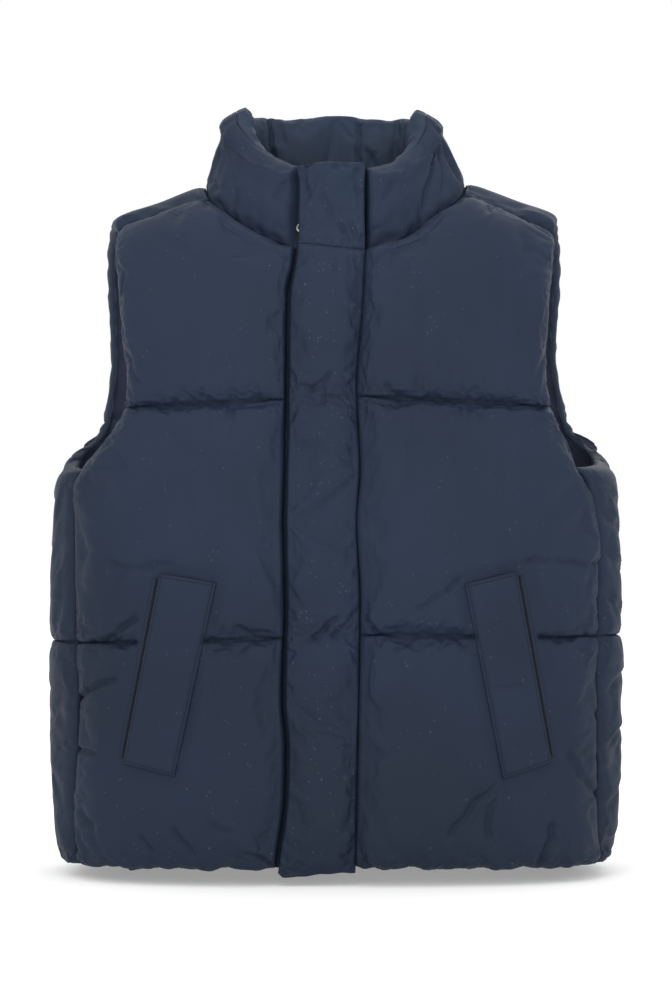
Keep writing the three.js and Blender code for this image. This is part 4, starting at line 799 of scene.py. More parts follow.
class Front(Sheet):
    """One front: its edges by row, its columns, its welt and its creases."""

    # Line: how far its short folds stand apart, and the longest and the deepest of them.
    PINCHES = (
        ("waist", 6, 13, 1.2), ("chest", 6, 14, 1.3), ("hem", 7, 24, 1.6),
        ("shoulder", 6, 13, 1.8), ("neckline", 9, 16, 1.2), ("side", 12, 26, 1.5),
        ("armhole", 10, 24, 1.6), ("centre", 9, 16, 1.3),
    )
    RIPPLES = (("waist", 0.35), ("chest", 0.4), ("hem", 0.6), ("side", 0.5), ("armhole", 0.5))

    def __init__(self, side, armhole, neckline, steps, under_flap, welt, folds, seed):
        self.side, self.armhole = curve_through(side), curve_through(armhole)
        self.neckline_curve = curve_through(neckline)
        self.under_flap, self.welt, self.folds, self.seed = under_flap, welt, folds, seed
        rows = finer(ROWS, CHANNEL_HEIGHT, spacing(), SEAM_ROWS)
        lines = (0, UNDER_FLAP, 1) if under_flap else (0, 1)
        columns = finer(steps, FRONT_WIDTH, spacing(), lines)
        super().__init__(rows, columns, self.place_at(rows[:, None], columns[None, :]))
        points = self.points
        for edge, inward in ((np.s_[:, 0], np.s_[:, 1]), (np.s_[:, -1], np.s_[:, -2]),
                             (np.s_[0], np.s_[1]), (np.s_[-1], np.s_[-2])):
            pull(points, edge, inward)
        waist, chest, under, neck = (
            self.row_index(row) for row in (WAIST_LINE, CHEST_LINE, UNDERARM, NECK_CORNER))
        self.set_lines({
            "hem": points[0], "waist": points[waist], "chest": points[chest],
            "shoulder": points[-1], "centre": points[: neck + 1, 0], "neckline": points[neck:, 0],
            "side": points[: under + 1, -1], "armhole": points[under:, -1],
        })

    def edges_at(self, row):
        """Where a row starts and ends, seen from the front."""
        z = front_height(row)
        neck_x, neck_z = self.neckline_curve(row)
        above = row >= NECK_CORNER
        inner = np.where(above, neck_x, flap(z)[1]), np.where(above, neck_z, z)
        side, armhole = self.side(row), self.armhole(row)
        outer = [np.where(row < UNDERARM, low, high) for low, high in zip(side, armhole)]
        return inner, outer

    def place_at(self, row, share):
        """The place on the body at a share of the way along a row."""
        (from_x, from_z), (to_x, to_z) = self.edges_at(row)
        x = mix(from_x, to_x, share)
        if self.under_flap:
            covered = np.minimum(flap(from_z)[0], from_x - 2 * FLAP_MARGIN)
            x = np.where(
                share < UNDER_FLAP, mix(from_x, covered, share / UNDER_FLAP),
                mix(covered, to_x, (share - UNDER_FLAP) / (1 - UNDER_FLAP)))
        z = mix(from_z, to_z, (x - from_x) / (to_x - from_x))
        return front_place(x, z + gathers(x, row, np.abs(to_x - x)))

    def field_at(self, points):
        """Distances to each seam and to the welt, and how full the padding is."""
        away = self.away_at(points)
        x, z = points[..., 0], points[..., 2]
        outside = outside_welt(self.welt, x, z)
        bridged = 1 - smoothstep(outside, *BRIDGE)
        if self.under_flap:
            centre = flap(z)[0] - FLAP_MARGIN - x
            beside = filled(centre, ROUND["flap"], FLAP_SIDE_FILL)
            beside = beside * smoothstep(centre, *FLAP_TUCK)
        else:
            centre = away["centre"]
            beside = filled(centre, ROUND["flap"], CENTRE_FILL)
        full = (
            beside * filled(away["side"], ROUND["side"], SIDE_FILL)
            * filled(away["armhole"], ROUND["armhole"], EDGE_FILL)
            * filled(away["chest"], ROUND["channel"], CHANNEL_FILL)
            * np.maximum(bridged, filled(away["waist"], ROUND["channel"], CHANNEL_FILL))
            * slope_up(away["neckline"], ROUND["neck"])
            * mix(SHOULDER_FILL, 1, slope_up(away["shoulder"], ROUND["front_shoulder"])))
        return SimpleNamespace(
            away=away, outside=outside, bridged=bridged, centre=centre, full=full,
            hem=dome(away["hem"], ROUND["hem"]), hem_side=centre, puff=sizes().puff / MM)

    def thickness_at(self, points):
        return self.thickness_of(self.field_at(points))

    def relief(self):
        """Depth of the folds, and of the small puckers beside each stitched line."""
        field, x, z = self.field, self.points[..., 0], self.points[..., 2]
        folds = list(self.folds)
        for seed, (name, *kind) in enumerate(self.PINCHES, self.seed):
            line = self.lines[name][:, [0, 2]]
            if name == "centre" and self.under_flap:
                line = np.stack([flap(line[:, 1])[0] - FLAP_MARGIN - 1, line[:, 1]], 1)
            folds += pinches(line, seed, *kind)
        depth = fold_depth(folds, x, z) * np.clip(field.full * 3, 0.25, 1)
        depth = self.rippled(depth, x, self.seed + len(self.PINCHES))
        for name in ("waist", "chest", "shoulder"):
            depth = depth + CREASE * np.exp(-((field.away[name] / CREASE_HALF) ** 2))
        depth = depth + 0.55 * field.full * drifting(x, z, SEEDS["front_drift"])
        depth = depth + 0.3 * field.full * ripples(x, z, SEEDS["front_waves"], 44, 18)
        clear = smoothstep(field.outside, 0.5, 4) * smoothstep(field.centre, 0, 4)
        return np.minimum(depth, self.thickness - LOWEST_PADDING) * clear

    def held(self):
        """Points held by stitching."""
        held = held_round(self.points.shape[:2]) | (self.field.centre <= 0)
        held[self.row_index(CHEST_LINE)] = True
        waist = self.row_index(WAIST_LINE)
        held[waist] |= self.field.bridged[waist] < 0.5
        return held

    def room(self):
        """How far each point may swell: nowhere under the flap and the welt."""
        calm = self.calm(("hem", "side", "armhole", "neckline", "shoulder"))
        clear = smoothstep(self.field.outside, 2, 16)
        return SWELL_ROOM * calm * clear * smoothstep(self.field.centre, 0, 6)


def mirrored(side, turn):
    """Places on the wearer's right mirror the turn of those on the left."""
    return turn if side == "left" else math.pi - turn


def within(value):
    """The value, kept from 0 to 1."""
    return min(max(value, 0), 1)


def round_back(points):
    """Distance round the body from straight left."""
    turn = np.arctan2(points[..., 1], points[..., 0])
    return np.where(turn < -QUARTER, turn + FULL_TURN, turn) * BACK_ROUND


class Back(Sheet):
    """The back panel, which wraps forward past each side and over each shoulder."""

    PINCHES = (
        ("waist", 8, 18, 1.7), ("chest", 8, 18, 1.8), ("hem", 8, 24, 1.6),
        ("side_left", 10, 26, 1.5), ("side_right", 10, 26, 1.5),
        ("armhole_left", 10, 24, 1.6), ("armhole_right", 10, 24, 1.6),
    )
    YOKE_PINCHES = tuple((name, 8, 15, 1.4) for name in (
        "shoulder_left", "shoulder_right", "neckline"))
    RIPPLES = tuple((name, 0.5) for name in (
        "waist", "chest", "hem", "side_left", "side_right"))

    def __init__(self):
        self.sides = {"left": curve_through(SIDE_LEFT), "right": curve_through(SIDE_RIGHT)}
        self.tips = {"left": ARMHOLE_FRONT_LEFT[-1], "right": ARMHOLE_FRONT_RIGHT[-1]}
        self.neck_points = {"left": NECKLINE_LEFT[-1], "right": NECKLINE_RIGHT[-1]}
        self.scoop, self.armhole = curve_through(ARMHOLE_SCOOP), curve_through(ARMHOLE_BACK)
        self.neckline_curve = curve_through(NECKLINE_BACK)
        apart = spacing() * BACK_COARSER
        rows = finer(ROWS, CHANNEL_HEIGHT, apart, SEAM_ROWS)
        columns = finer(BACK_STEPS, BACK_WIDTH, apart, (0, SIDE_SHARE, 1 - SIDE_SHARE, 1))
        places = [self.row_place(row, columns) for row in rows]
        super().__init__(rows, columns, [np.array(values) for values in zip(*places)])
        points = self.points
        under = self.row_index(UNDERARM)
        arm = index_of(columns, SIDE_SHARE)
        tip = index_of(columns, SIDE_SHARE + (1 - 2 * SIDE_SHARE) * SHOULDER_SHARE)
        last = len(columns) - 1
        self.under, self.arm, self.last = under, arm, last
        for row in range(len(rows)):
            edge = 0 if row <= under else arm
            pull(points, (row, edge), (row, edge + 1))
            pull(points, (row, last - edge), (row, last - edge - 1))
        yoke = np.s_[arm: last - arm + 1]
        pull(points, (-1, yoke), (-2, yoke))
        self.covered[under:, :arm] = False
        self.covered[under:, last - arm:] = False
        top, low = points[-1], points[under]
        self.set_lines({
            "hem": points[0],
            "waist": points[self.row_index(WAIST_LINE)],
            "chest": points[self.row_index(CHEST_LINE), yoke],
            "side_left": points[: under + 1, 0], "side_right": points[: under + 1, last],
            "armhole_left": np.vstack([low[:arm], points[under:, arm]]),
            "armhole_right": np.vstack([low[last - arm + 1:][::-1], points[under:, last - arm]]),
            "shoulder_left": top[arm: tip + 1],
            "shoulder_right": top[last - tip: last - arm + 1],
            "neckline": top[tip: last - tip + 1],
        })

    def lower_place(self, row, share):
        """Below the armholes the sheet runs from side seam to side seam."""
        left, right = self.sides["left"](row), self.sides["right"](row)
        turn = mix(front_place(*left)[0], front_place(*right)[0] + FULL_TURN, share)
        from_side = np.minimum(share, 1 - share)
        z = mix(mix(left[1], right[1], share), back_height(row),
                smoothstep(from_side, 0, SIDE_SETTLE))
        z = z + gathers(turn * BACK_ROUND, row, from_side * FULL_TURN * BACK_ROUND / 2)
        return turn, reach_to(turn, z)

    def middle_place(self, row, share):
        """Between underarm and chest line it ends at the armholes' lower edges."""
        edge_turn, edge_z = self.scoop(row)
        settle = math.sin(QUARTER * within((row - UNDERARM) / (CHEST_LINE - UNDERARM)))
        left, right = (
            mix(float(self.lower_place(UNDERARM, at)[0]), mirrored(side, math.radians(edge_turn)),
                settle)
            for side, at in (("left", SIDE_SHARE), ("right", 1 - SIDE_SHARE)))
        turn = mix(left, right, share)
        inward = smoothstep(np.minimum(share, 1 - share), 0, SCOOP_SETTLE)
        return turn, reach_to(turn, mix(edge_z, back_height(row), inward))

    def seam_place(self, side, share):
        """A place on a shoulder seam, from the armhole (0) to the neck (1)."""
        x, z = (mix(self.tips[side][k], self.neck_points[side][k], share) for k in (1, 2))
        turn, reach = front_place(x, z)
        return -turn, -reach

    def yoke_edge(self, side, row):
        """The armhole's edge over the shoulder."""
        start = self.middle_place(CHEST_LINE, np.float64(0 if side == "left" else 1))
        end = self.seam_place(side, 0.0)
        left, right, reach = self.armhole(row)
        drop = 0 if reach < 0 else drop_of_reach(reach, CAP_BACK)
        own = mirrored(side, float(turn_of(left if side == "left" else right, drop))), float(reach)
        from_start = within((row - CHEST_LINE) / YOKE_LEAVE)
        to_end = within((row - YOKE_ARRIVE[0]) / YOKE_ARRIVE[1])
        return [mix(mix(float(start[k]), own[k], from_start), float(end[k]), to_end)
                for k in range(2)]

    def top_place(self, share):
        """The upper edge: shoulder seam, neckline, shoulder seam."""
        side = "left" if share < 0.5 else "right"
        half = share if share < 0.5 else 1 - share
        if half <= SHOULDER_SHARE:
            return [float(value) for value in self.seam_place(side, half / SHOULDER_SHARE)]
        x, reach = self.neckline_curve(half)
        own = mirrored(side, float(turn_of(x, 0))), float(reach)
        settle = within((half - SHOULDER_SHARE) / NECK_SETTLE)
        return [mix(float(corner), value, settle)
                for corner, value in zip(self.seam_place(side, 1.0), own)]

    def upper_place(self, row, share):
        """Above the chest line the sheet is blended from its four edges."""
        up = row - CHEST_LINE
        left, right = self.yoke_edge("left", row), self.yoke_edge("right", row)
        bottom = self.middle_place(CHEST_LINE, share)
        if not hasattr(self, "top_edge"):
            self.top_edge = np.array([self.top_place(at) for at in share]).T
        ends = [self.middle_place(CHEST_LINE, np.float64(at)) for at in (0, 1)]
        ends += [self.top_place(0), self.top_place(1)]
        blended = []
        for k in range(2):
            corner = [float(end[k]) for end in ends]
            flat = mix(mix(corner[0], corner[1], share), mix(corner[2], corner[3], share), up)
            sides = mix(left[k], right[k], share)
            blended.append(mix(bottom[k], self.top_edge[k], up) + sides - flat)
        return blended

    def row_place(self, row, share):
        """The place on the body at a share of the way along any row."""
        if row <= UNDERARM + NEARLY:
            return self.lower_place(row, share)
        between = np.clip((share - SIDE_SHARE) / (1 - 2 * SIDE_SHARE), 0, 1)
        place = self.middle_place if row <= CHEST_LINE + NEARLY else self.upper_place
        return place(row, between)

    def field_at(self, points):
        """Distances to each seam, and how full the padding is."""
        away = self.away_at(points)
        side, armhole, shoulder = (
            np.minimum(away[f"{name}_left"], away[f"{name}_right"])
            for name in ("side", "armhole", "shoulder"))
        full = (
            filled(side, ROUND["side"], SIDE_FILL)
            * filled(armhole, ROUND["armhole"], EDGE_FILL)
            * filled(away["chest"], ROUND["channel"], CHANNEL_FILL)
            * filled(away["waist"], ROUND["channel"], CHANNEL_FILL)
            * slope_up(away["neckline"], ROUND["neck"])
            * filled(shoulder, ROUND["shoulder"], SHOULDER_FILL))
        round_body = self.turn * BACK_ROUND
        from_sides = np.minimum(np.abs(round_body), np.abs(math.pi * BACK_ROUND - round_body))
        full = full * (1 - SIDEWAYS_LESS * np.exp(-((from_sides / SIDEWAYS_ROUND) ** 2)))
        on_shoulder = smoothstep(points[..., 2], *SHOULDER_FLAT)
        puff = mix(sizes().puff / MM - BACK_PUFF_LESS, SHOULDER_PUFF, on_shoulder)
        return SimpleNamespace(
            away=away, full=full, hem=dome(away["hem"], ROUND["hem"]), hem_side=side, puff=puff,
            armhole=armhole, on_shoulder=on_shoulder)

    def relief(self):
        """Depth of the folds, and of the small puckers beside each stitched line."""
        x, y, z = np.moveaxis(self.points, -1, 0)
        around = round_back(self.points)
        folds = list(BACK_FOLDS)
        for seed, (name, *kind) in enumerate(self.PINCHES, SEEDS["back"]):
            line = self.lines[name]
            folds += pinches(np.stack([round_back(line), line[:, 2]], 1), seed, *kind)
        depth = fold_depth(folds, around, z)
        folds = []
        for seed, (name, *kind) in enumerate(self.YOKE_PINCHES, SEEDS["yoke"]):
            folds += pinches(self.lines[name][:, :2], seed, *kind)
        depth = depth + fold_depth(folds, x, y) * smoothstep(z, -90, -60)
        depth = depth * np.clip(self.field.full * 3, 0.25, 1)
        depth = self.rippled(depth, around, SEEDS["back_ripples"])
        depth = depth + 0.6 * self.field.full * drifting(around, z, SEEDS["back_drift"])
        return np.minimum(depth, self.thickness - LOWEST_PADDING)

    def inner_side(self):
        """The inner side, gathered where it shows in the armholes."""
        near = self.field.armhole
        y, z = self.points[..., 1], self.points[..., 2]
        seed = SEEDS["armhole_inside"]
        waves = (1.6 * ripples(z, y, seed, 26, 11)
                 + 0.9 * ripples(z + 0.6 * y, y, seed + 1, 40, 20))
        lift = (1.6 + waves) * smoothstep(near, 0, 4) * (1 - smoothstep(near, 60, 110))
        return self.points + np.clip(lift, 0, INSIDE_LIFT)[..., None] * self.normals

    def held(self):
        """Points held by stitching."""
        held = np.zeros(self.points.shape[:2], bool)
        under, arm, last = self.under, self.arm, self.last
        held[[0, self.row_index(WAIST_LINE), self.row_index(CHEST_LINE), -1]] = True
        held[: under + 1, [0, last]] = True
        held[under, : arm + 1] = True
        held[under, last - arm:] = True
        held[under:, [arm, last - arm]] = True
        return held

    def room(self):
        """How far each point may swell: less over the shoulders."""
        return SWELL_ROOM * (1 - 0.6 * self.field.on_shoulder) * self.calm(
            ("hem", "side_left", "side_right", "armhole_left", "armhole_right"))


# ---------------------------------------------------------------- collar and flap

collar_form = curve_through(COLLAR)


def spread(values, parts):
    """A smooth curve through points, with each stretch split into the given number of parts."""
    values = np.asarray(values, float)
    padded = np.concatenate(
        [2 * values[:1] - values[1:2], values, 2 * values[-1:] - values[-2:-1]])
    made = []
    for i in range(len(values) - 1):
        p0, p1, p2, p3 = padded[i: i + 4]
        for k in range(parts):
            t = k / parts
            made.append(0.5 * (2 * p1 + (p2 - p0) * t + (2 * p0 - 5 * p1 + 4 * p2 - p3) * t**2
                               + (3 * p1 - p0 - 3 * p2 + p3) * t**3))
    made.append(values[-1])
    return np.array(made)


class Collar:
    """Stations round the collar seam: its points, the body's and the collar's outward ways."""

    def __init__(self, points, normals, outward, turn):
        self.points, self.normals = points, unit(normals)
        self.outward, self.turn = unit(outward), turn
        self.middle, self.rim, extra = collar_form(np.degrees(turn))
        self.height = COLLAR_RISE + extra

    @classmethod
    def along_seam(cls, front_left, back, front_right):
        """The collar's stations from the flap round the back of the neck to the other front."""
        ring = cls.edge_of(front_left)
        for step in YOKE_STEPS_ACROSS:
            if SHOULDER_SHARE - NEARLY <= step <= 1 - SHOULDER_SHARE + NEARLY:
                column = index_of(back.columns, SIDE_SHARE + (1 - 2 * SIDE_SHARE) * step)
                ring.append((back.points[-1, column], back.normals[-1, column]))
        ring += cls.edge_of(front_right)[::-1]
        stations = ring[:1]
        for (point, normal), (after, after_normal) in zip(ring, ring[1:]):
            if np.linalg.norm(after - point) > STATION_SPACING:
                stations.append(((point + after) / 2, unit(normal + after_normal)))
            stations.append((after, after_normal))
        points, normals = (np.array(values) for values in zip(*stations))
        along = np.vstack([points[1:], points[-1:]]) - np.vstack([points[:1], points[:-1]])
        along[:, 2] = 0
        outward = np.cross(unit(along), UP)
        for _ in range(4):
            middle = unit(outward[1:-1] + outward[:-2] + outward[2:])
            outward = np.vstack([[0, -1, 0], middle, [0, -1, 0]])
        arm = points - NECK_AXIS
        turn = np.arctan2(arm[:, 1], arm[:, 0])
        late = np.arange(len(turn)) > len(turn) / 2
        return cls(points, normals, outward, np.where(late & (turn < 0), turn + FULL_TURN, turn))

    @staticmethod
    def edge_of(front):
        rows = [front.row_index(row) for row in ROWS if NECK_CORNER - NEARLY <= row < SHOULDER]
        return [(front.points[row, 0], front.normals[row, 0]) for row in rows]

    def remade(self, change):
        """The same collar with each of its lists of values changed."""
        return Collar(*(change(values) for values in (
            self.points, self.normals, self.outward, self.turn)))

    def finer(self, parts):
        """The same collar with its stations set closer."""
        return self.remade(lambda values: spread(values, parts))

    def at_x(self, x):
        """Stations on the thin stretch under the flap, by x along the seam."""
        i = len(self.points) - 1
        while self.points[i - 1, 0] > np.min(x) - 8:
            i -= 1
        tail = np.s_[len(self.points) - 1: max(i - 2, 0): -1]
        keys = self.points[tail, 0]
        order = np.argsort(keys)

        def pick(values):
            values = values[tail][order]
            if values.ndim == 1:
                return np.interp(x, keys[order], values)
            columns = [np.interp(x, keys[order], values[:, k]) for k in range(3)]
            return np.stack(columns, axis=-1)

        return self.remade(pick)

    def place(self, share):
        """The collar's middle surface from its seam (0) to its rim (1); rows by stations."""
        share = np.asarray(share, float)[..., None]
        on_body = np.maximum(0, self.normals[:, 2]) * SEAM_WALL
        lean = self.middle * 4 * share * (1 - share) + self.rim * share**2
        rise = self.height * share - COLLAR_SINK * (1 - smoothstep(share, 0, 0.1))
        return (self.points + (on_body + 2 * SEAM_GAP + rise)[..., None] * UP
                + (lean - on_body)[..., None] * self.outward)

    def outward_at(self, share):
        """The way straight out of the collar's middle surface."""
        share = np.asarray(share, float)
        up = self.place(np.minimum(share + 0.03, 1)) - self.place(np.maximum(share - 0.03, 0))
        return unit(np.cross(np.cross(UP, self.outward), up))

    def clear_of_flap(self):
        """How far each station is outside the stretch that the flap covers."""
        on_left = np.arange(len(self.turn)) < len(self.turn) / 2
        covered = np.minimum(flap(self.points[:, 2])[0], flap(FLAP_TOP)[0]) - FLAP_MARGIN
        x, y = self.points[:, 0], self.points[:, 1]
        past = np.where(on_left, x - x[0], covered - x)
        behind = y - y[0] - FLAP_MARGIN
        return np.hypot(np.maximum(0, past), np.maximum(0, behind))

    def wall(self, share):
        """The collar's wall without its padding."""
        thin = np.clip((np.asarray(share, float) - RIM_FROM) / (1 - RIM_FROM), 0, 1)
        return mix(SEAM_WALL, RIM_WALL, thin)[..., None]

    def padding(self, share, puff, from_seam, from_rim):
        """Padding that rounds down to the seam and the rim."""
        height = self.height * np.asarray(share, float)[..., None]
        return puff * slope_up(height, from_seam) * dome(self.height - height, from_rim)

    def thickness(self, share):
        clear = self.clear_of_flap()
        beside = filled(clear, ROUND["flap"], FLAP_SIDE_FILL) * smoothstep(clear, *FLAP_TUCK)
        return self.wall(share) + self.padding(
            share, COLLAR_PUFF, COLLAR_SEAM_ROUND, COLLAR_RIM_ROUND) * beside

    def lining_thickness(self, share):
        return self.wall(share) + self.padding(
            share, COLLAR_LINING_PUFF, LINING_SEAM_ROUND, LINING_RIM_ROUND)

    def relief(self, share, folds, seed):
        """Depth of the collar's folds, and of the puckers beside its seam and its rim."""
        height = self.height * np.asarray(share, float)[..., None]
        from_rim = self.height - height
        around = self.turn * COLLAR_ROUND * np.ones_like(height)
        depth = fold_depth(folds, around, height) * (dome(height, 14) * dome(from_rim, 10))
        seam = np.stack([np.linspace(*(self.turn[[0, -1]] * COLLAR_ROUND), 40), np.zeros(40)], 1)
        rim = seam + [0, COLLAR_RISE]
        small = pinches(seam, seed, *COLLAR_SEAM_PINCHES)
        small += pinches(rim, seed + 1, *COLLAR_RIM_PINCHES)
        flat_height = height / self.height * COLLAR_RISE
        depth = depth + fold_depth(small, around, flat_height) * dome(height, 4)
        depth = depth + 0.5 * gathered(height, 7) * ripples(around, height, seed, 24, 10)
        return depth + 0.3 * gathered(from_rim, 6) * ripples(around, height, seed + 1, 22, 9)


def flap_lift(share):
    """How far the flap stands off the cloth below, from its seam (0) to its free edge (1)."""
    return LAY_GAP + FLAP_LIFT * share**1.3


def flap_thickness(share, from_line):
    across = dome(np.minimum(share, 1 - share) * FLAP_WIDTH, FLAP_WIDTH * FLAP_SIDE_ROUND)
    return FLAP_EDGE + FLAP_PUFF * across * dome(from_line + FLAP_LINE_FILL, FLAP_ROUND)


def lower_flap_sheets():
    """The lower flap's near and far sides, and where its rows and columns lie."""
    rows = finer([row for row in ROWS if row <= NECK_CORNER + NEARLY], CHANNEL_HEIGHT, spacing(),
                 SEAM_ROWS)
    shares = finer(FLAP_STEPS, FLAP_WIDTH, spacing() * FLAP_FINER)
    level = front_height(rows)[:, None]
    share = shares[None, :]
    low = np.interp(share, *FLAP_END) + FLAP_UNEVEN * np.sin(21 * share + 1)
    rise = smoothstep(rows, CHEST_LINE, NECK_CORNER)[:, None]
    z = level - low * np.clip(1 - rows, 0, 1)[:, None] - rise * mix(*FLAP_SEAM_DROP, share)
    free, seam = flap(z)
    lapped = FLAP_OVERLAP * np.clip(1 - rows / 0.35, 0, 1)[:, None]
    place = front_place(mix(seam - SEAM_GAP + lapped, free, share), z)
    point, normal = torso(*place), torso_normal(*place)
    stitched = front_height([HEM, WAIST_LINE, CHEST_LINE, NECK_CORNER])
    from_line = np.min(np.abs(level[..., None] - stitched), axis=-1)
    near = point + (SEAM_WALL + flap_lift(share))[..., None] * normal
    far = near + flap_thickness(share, from_line)[..., None] * normal
    return rows, shares, near, far, normal


def upper_flap_sheets(collar):
    """The upper flap lies on the collar, collar seam to rim."""
    heights = finer(COLLAR_STEPS, COLLAR_RISE, spacing())
    _, shares, lower_near, lower_far, _ = lower_flap_sheets()
    lift = (SEAM_WALL + flap_lift(shares))[:, None]
    near, far, outs = [], [], []
    for height in heights:
        free, seam = flap(mix(front_height(NECK_CORNER), FLAP_TOP, height))
        stations = collar.at_x(mix(seam - SEAM_GAP, free, shares))
        outward = stations.outward_at(height)
        from_line = min(height, 1 - height) * COLLAR_RISE
        near.append(stations.place(height) + lift * outward)
        far.append(near[-1] + flap_thickness(shares, from_line)[:, None] * outward)
        outs.append(outward)
    fading = (1 - smoothstep(heights, 0, FLAP_BLEND))[:, None, None]
    near, far = (
        side + fading * (lower[-1] + SEAM_GAP * UP - side[0])
        for side, lower in ((np.array(near), lower_near), (np.array(far), lower_far)))
    return heights, shares, near, far, np.array(outs)


# ---------------------------------------------------------------- swelling the cloth


def between_lines(values):
    """Values at every second line of a grid, spread smoothly to the lines between."""
    for axis in (0, 1):
        values = np.moveaxis(values, axis, 0)
        before = np.concatenate([values[:1], values[:-2]])
        after = np.concatenate([values[2:], values[-1:]])
        middle = (9 * (values[:-1] + values[1:]) - before - after) / 16
        made = np.zeros((2 * len(values) - 1,) + values.shape[1:])
        made[::2], made[1::2] = values, middle
        values = np.moveaxis(made, 0, axis)
    return values


def squares(number, covered, step=1):
    """The covered squares of a grid of point numbers, each as its four corners."""
    i, j = (index * step for index in np.nonzero(covered))
    return np.stack(
        [number[i, j], number[i, j + step], number[i + step, j + step], number[i + step, j]], 1)


def used_only(faces, count):
    """The numbers of the points that faces use, and their new numbers in that shorter list."""
    used = np.unique(np.concatenate([np.ravel(face) for face in faces]))
    place = np.full(count, -1)
    place[used] = np.arange(len(used))
    return used, place


def swollen(points, normals, held, room, covered=None):
    """A grid of cloth, held where it is stitched, after air has made it swell and pucker.

    Every second line of the grid is used. The cloth is a little larger than its place, so it
    gathers along its seams. No point moves further than the room it has."""
    if covered is None:
        covered = np.ones((len(points) - 1, points.shape[1] - 1), bool)
    every = np.s_[::2, ::2]
    grid, held = points[every], held[every]
    rows, columns = grid.shape[:2]
    faces = squares(np.arange(rows * columns).reshape(rows, columns), covered[every])
    used, place = used_only(faces, rows * columns)
    start = grid.reshape(-1, 3)[used] * MM
    mesh = bpy.data.meshes.new("swelling")
    mesh.from_pydata(start.tolist(), [], place[faces].tolist())
    mesh.update()
    out = np.cross(grid[1, 2] - grid[1, 1], grid[2, 1] - grid[1, 1])
    if out @ normals[every][1, 1] < 0:
        mesh.flip_normals()
    scene = bpy.context.scene
    cloth = bpy.data.objects.new("swelling", mesh)
    scene.collection.objects.link(cloth)
    stitched = cloth.vertex_groups.new(name="stitched")
    stitched.add(np.nonzero(held.reshape(-1)[used])[0].tolist(), 1.0, "REPLACE")
    modifier = cloth.modifiers.new("Cloth", "CLOTH")
    for name, value in (
            ("vertex_group_mass", "stitched"), ("quality", 4), ("mass", 0.1),
            ("tension_stiffness", 12), ("compression_stiffness", 12), ("shear_stiffness", 3),
            ("bending_stiffness", 0.05), ("use_pressure", True),
            ("uniform_pressure_force", SWELL_PRESSURE), ("shrink_min", -SPARE_CLOTH)):
        setattr(modifier.settings, name, value)
    modifier.settings.effector_weights.gravity = 0
    modifier.collision_settings.use_collision = False
    modifier.collision_settings.use_self_collision = False
    modifier.point_cache.frame_start = 1
    modifier.point_cache.frame_end = SWELL_FRAMES
    for step in range(1, SWELL_FRAMES + 1):
        scene.frame_set(step)
    shaped = cloth.evaluated_get(bpy.context.evaluated_depsgraph_get())
    end = np.zeros(len(used) * 3, np.float32)
    shaped.data.vertices.foreach_get("co", end)
    move = np.zeros((rows * columns, 3))
    move[used] = (end.reshape(-1, 3) - start) / MM
    bpy.data.objects.remove(cloth)
    bpy.data.meshes.remove(mesh)
    scene.frame_set(1)
    move = between_lines(move.reshape(rows, columns, 3))
    far = np.linalg.norm(move, axis=-1)
    most = np.maximum(room, 1e-6)
    return points + move * (most * np.tanh(far / most) / np.maximum(far, 1e-6))[..., None]


# ---------------------------------------------------------------- meshes


def grid_mesh(name, inner, outer, covered=None, lining=None):
    """A closed wall: the outer grid at full fineness, the inner at every second line."""
    step = INNER_STEP
    rows, columns = outer.shape[:2]
    if covered is None:
        covered = np.ones((rows - 1, columns - 1), bool)
    facing = np.cross(outer[1, 2] - outer[1, 1], outer[2, 1] - outer[1, 1])
    inside_out = facing @ (outer[1, 1] - inner[1, 1]) < 0
    inner = inner[::step, ::step]
    number = np.arange(rows * columns).reshape(rows, columns)
    coarse = np.full((rows, columns), -1)
    coarse[::step, ::step] = (
        rows * columns + np.arange(inner[..., 0].size).reshape(inner.shape[:2]))
    cells = covered[::step, ::step]
    outside = squares(number, covered).tolist()
    inside = squares(coarse, cells, step)[:, [0, 3, 2, 1]].tolist()
    faces = outside + inside
    padded = np.pad(cells, 1)
    for a, b in zip(*np.nonzero(cells)):
        i, j = a * step, b * step
        ring = ((i, j), (i, j + step), (i + step, j + step), (i + step, j))
        beside = ((a, b + 1), (a + 1, b + 2), (a + 2, b + 1), (a + 1, b))
        for k in range(4):
            if not padded[beside[k]]:
                start, end = ring[k], ring[(k + 1) % 4]
                fine = [number[start[0] + (end[0] - start[0]) * m // step,
                               start[1] + (end[1] - start[1]) * m // step]
                        for m in range(step, -1, -1)]
                faces.append([coarse[start], coarse[end], *fine])
    corners = np.vstack([outer.reshape(-1, 3), inner.reshape(-1, 3)]) * MM
    used, place = used_only(faces, len(corners))
    mesh = bpy.data.meshes.new(name)
    faces = [place[np.array(face)].tolist() for face in faces]
    mesh.from_pydata(corners[used].tolist(), [], faces)
    mesh.update()
    if inside_out:
        mesh.flip_normals()
    weave = cloth_lengths(outer)
    weave = np.vstack([weave.reshape(-1, 3), weave[::step, ::step].reshape(-1, 3)])[used] * MM
    layer = mesh.attributes.new("weave", "FLOAT_VECTOR", "POINT")
    layer.data.foreach_set("vector", weave.astype(np.float32).ravel())
    if lining is not None:
        mesh.materials.append(None)
        mesh.materials.append(lining)
        index = np.zeros(len(faces), np.int32)
        index[len(outside):len(outside) + len(inside)] = 1
        mesh.polygons.foreach_set("material_index", index)
    mesh.shade_smooth()
    return mesh


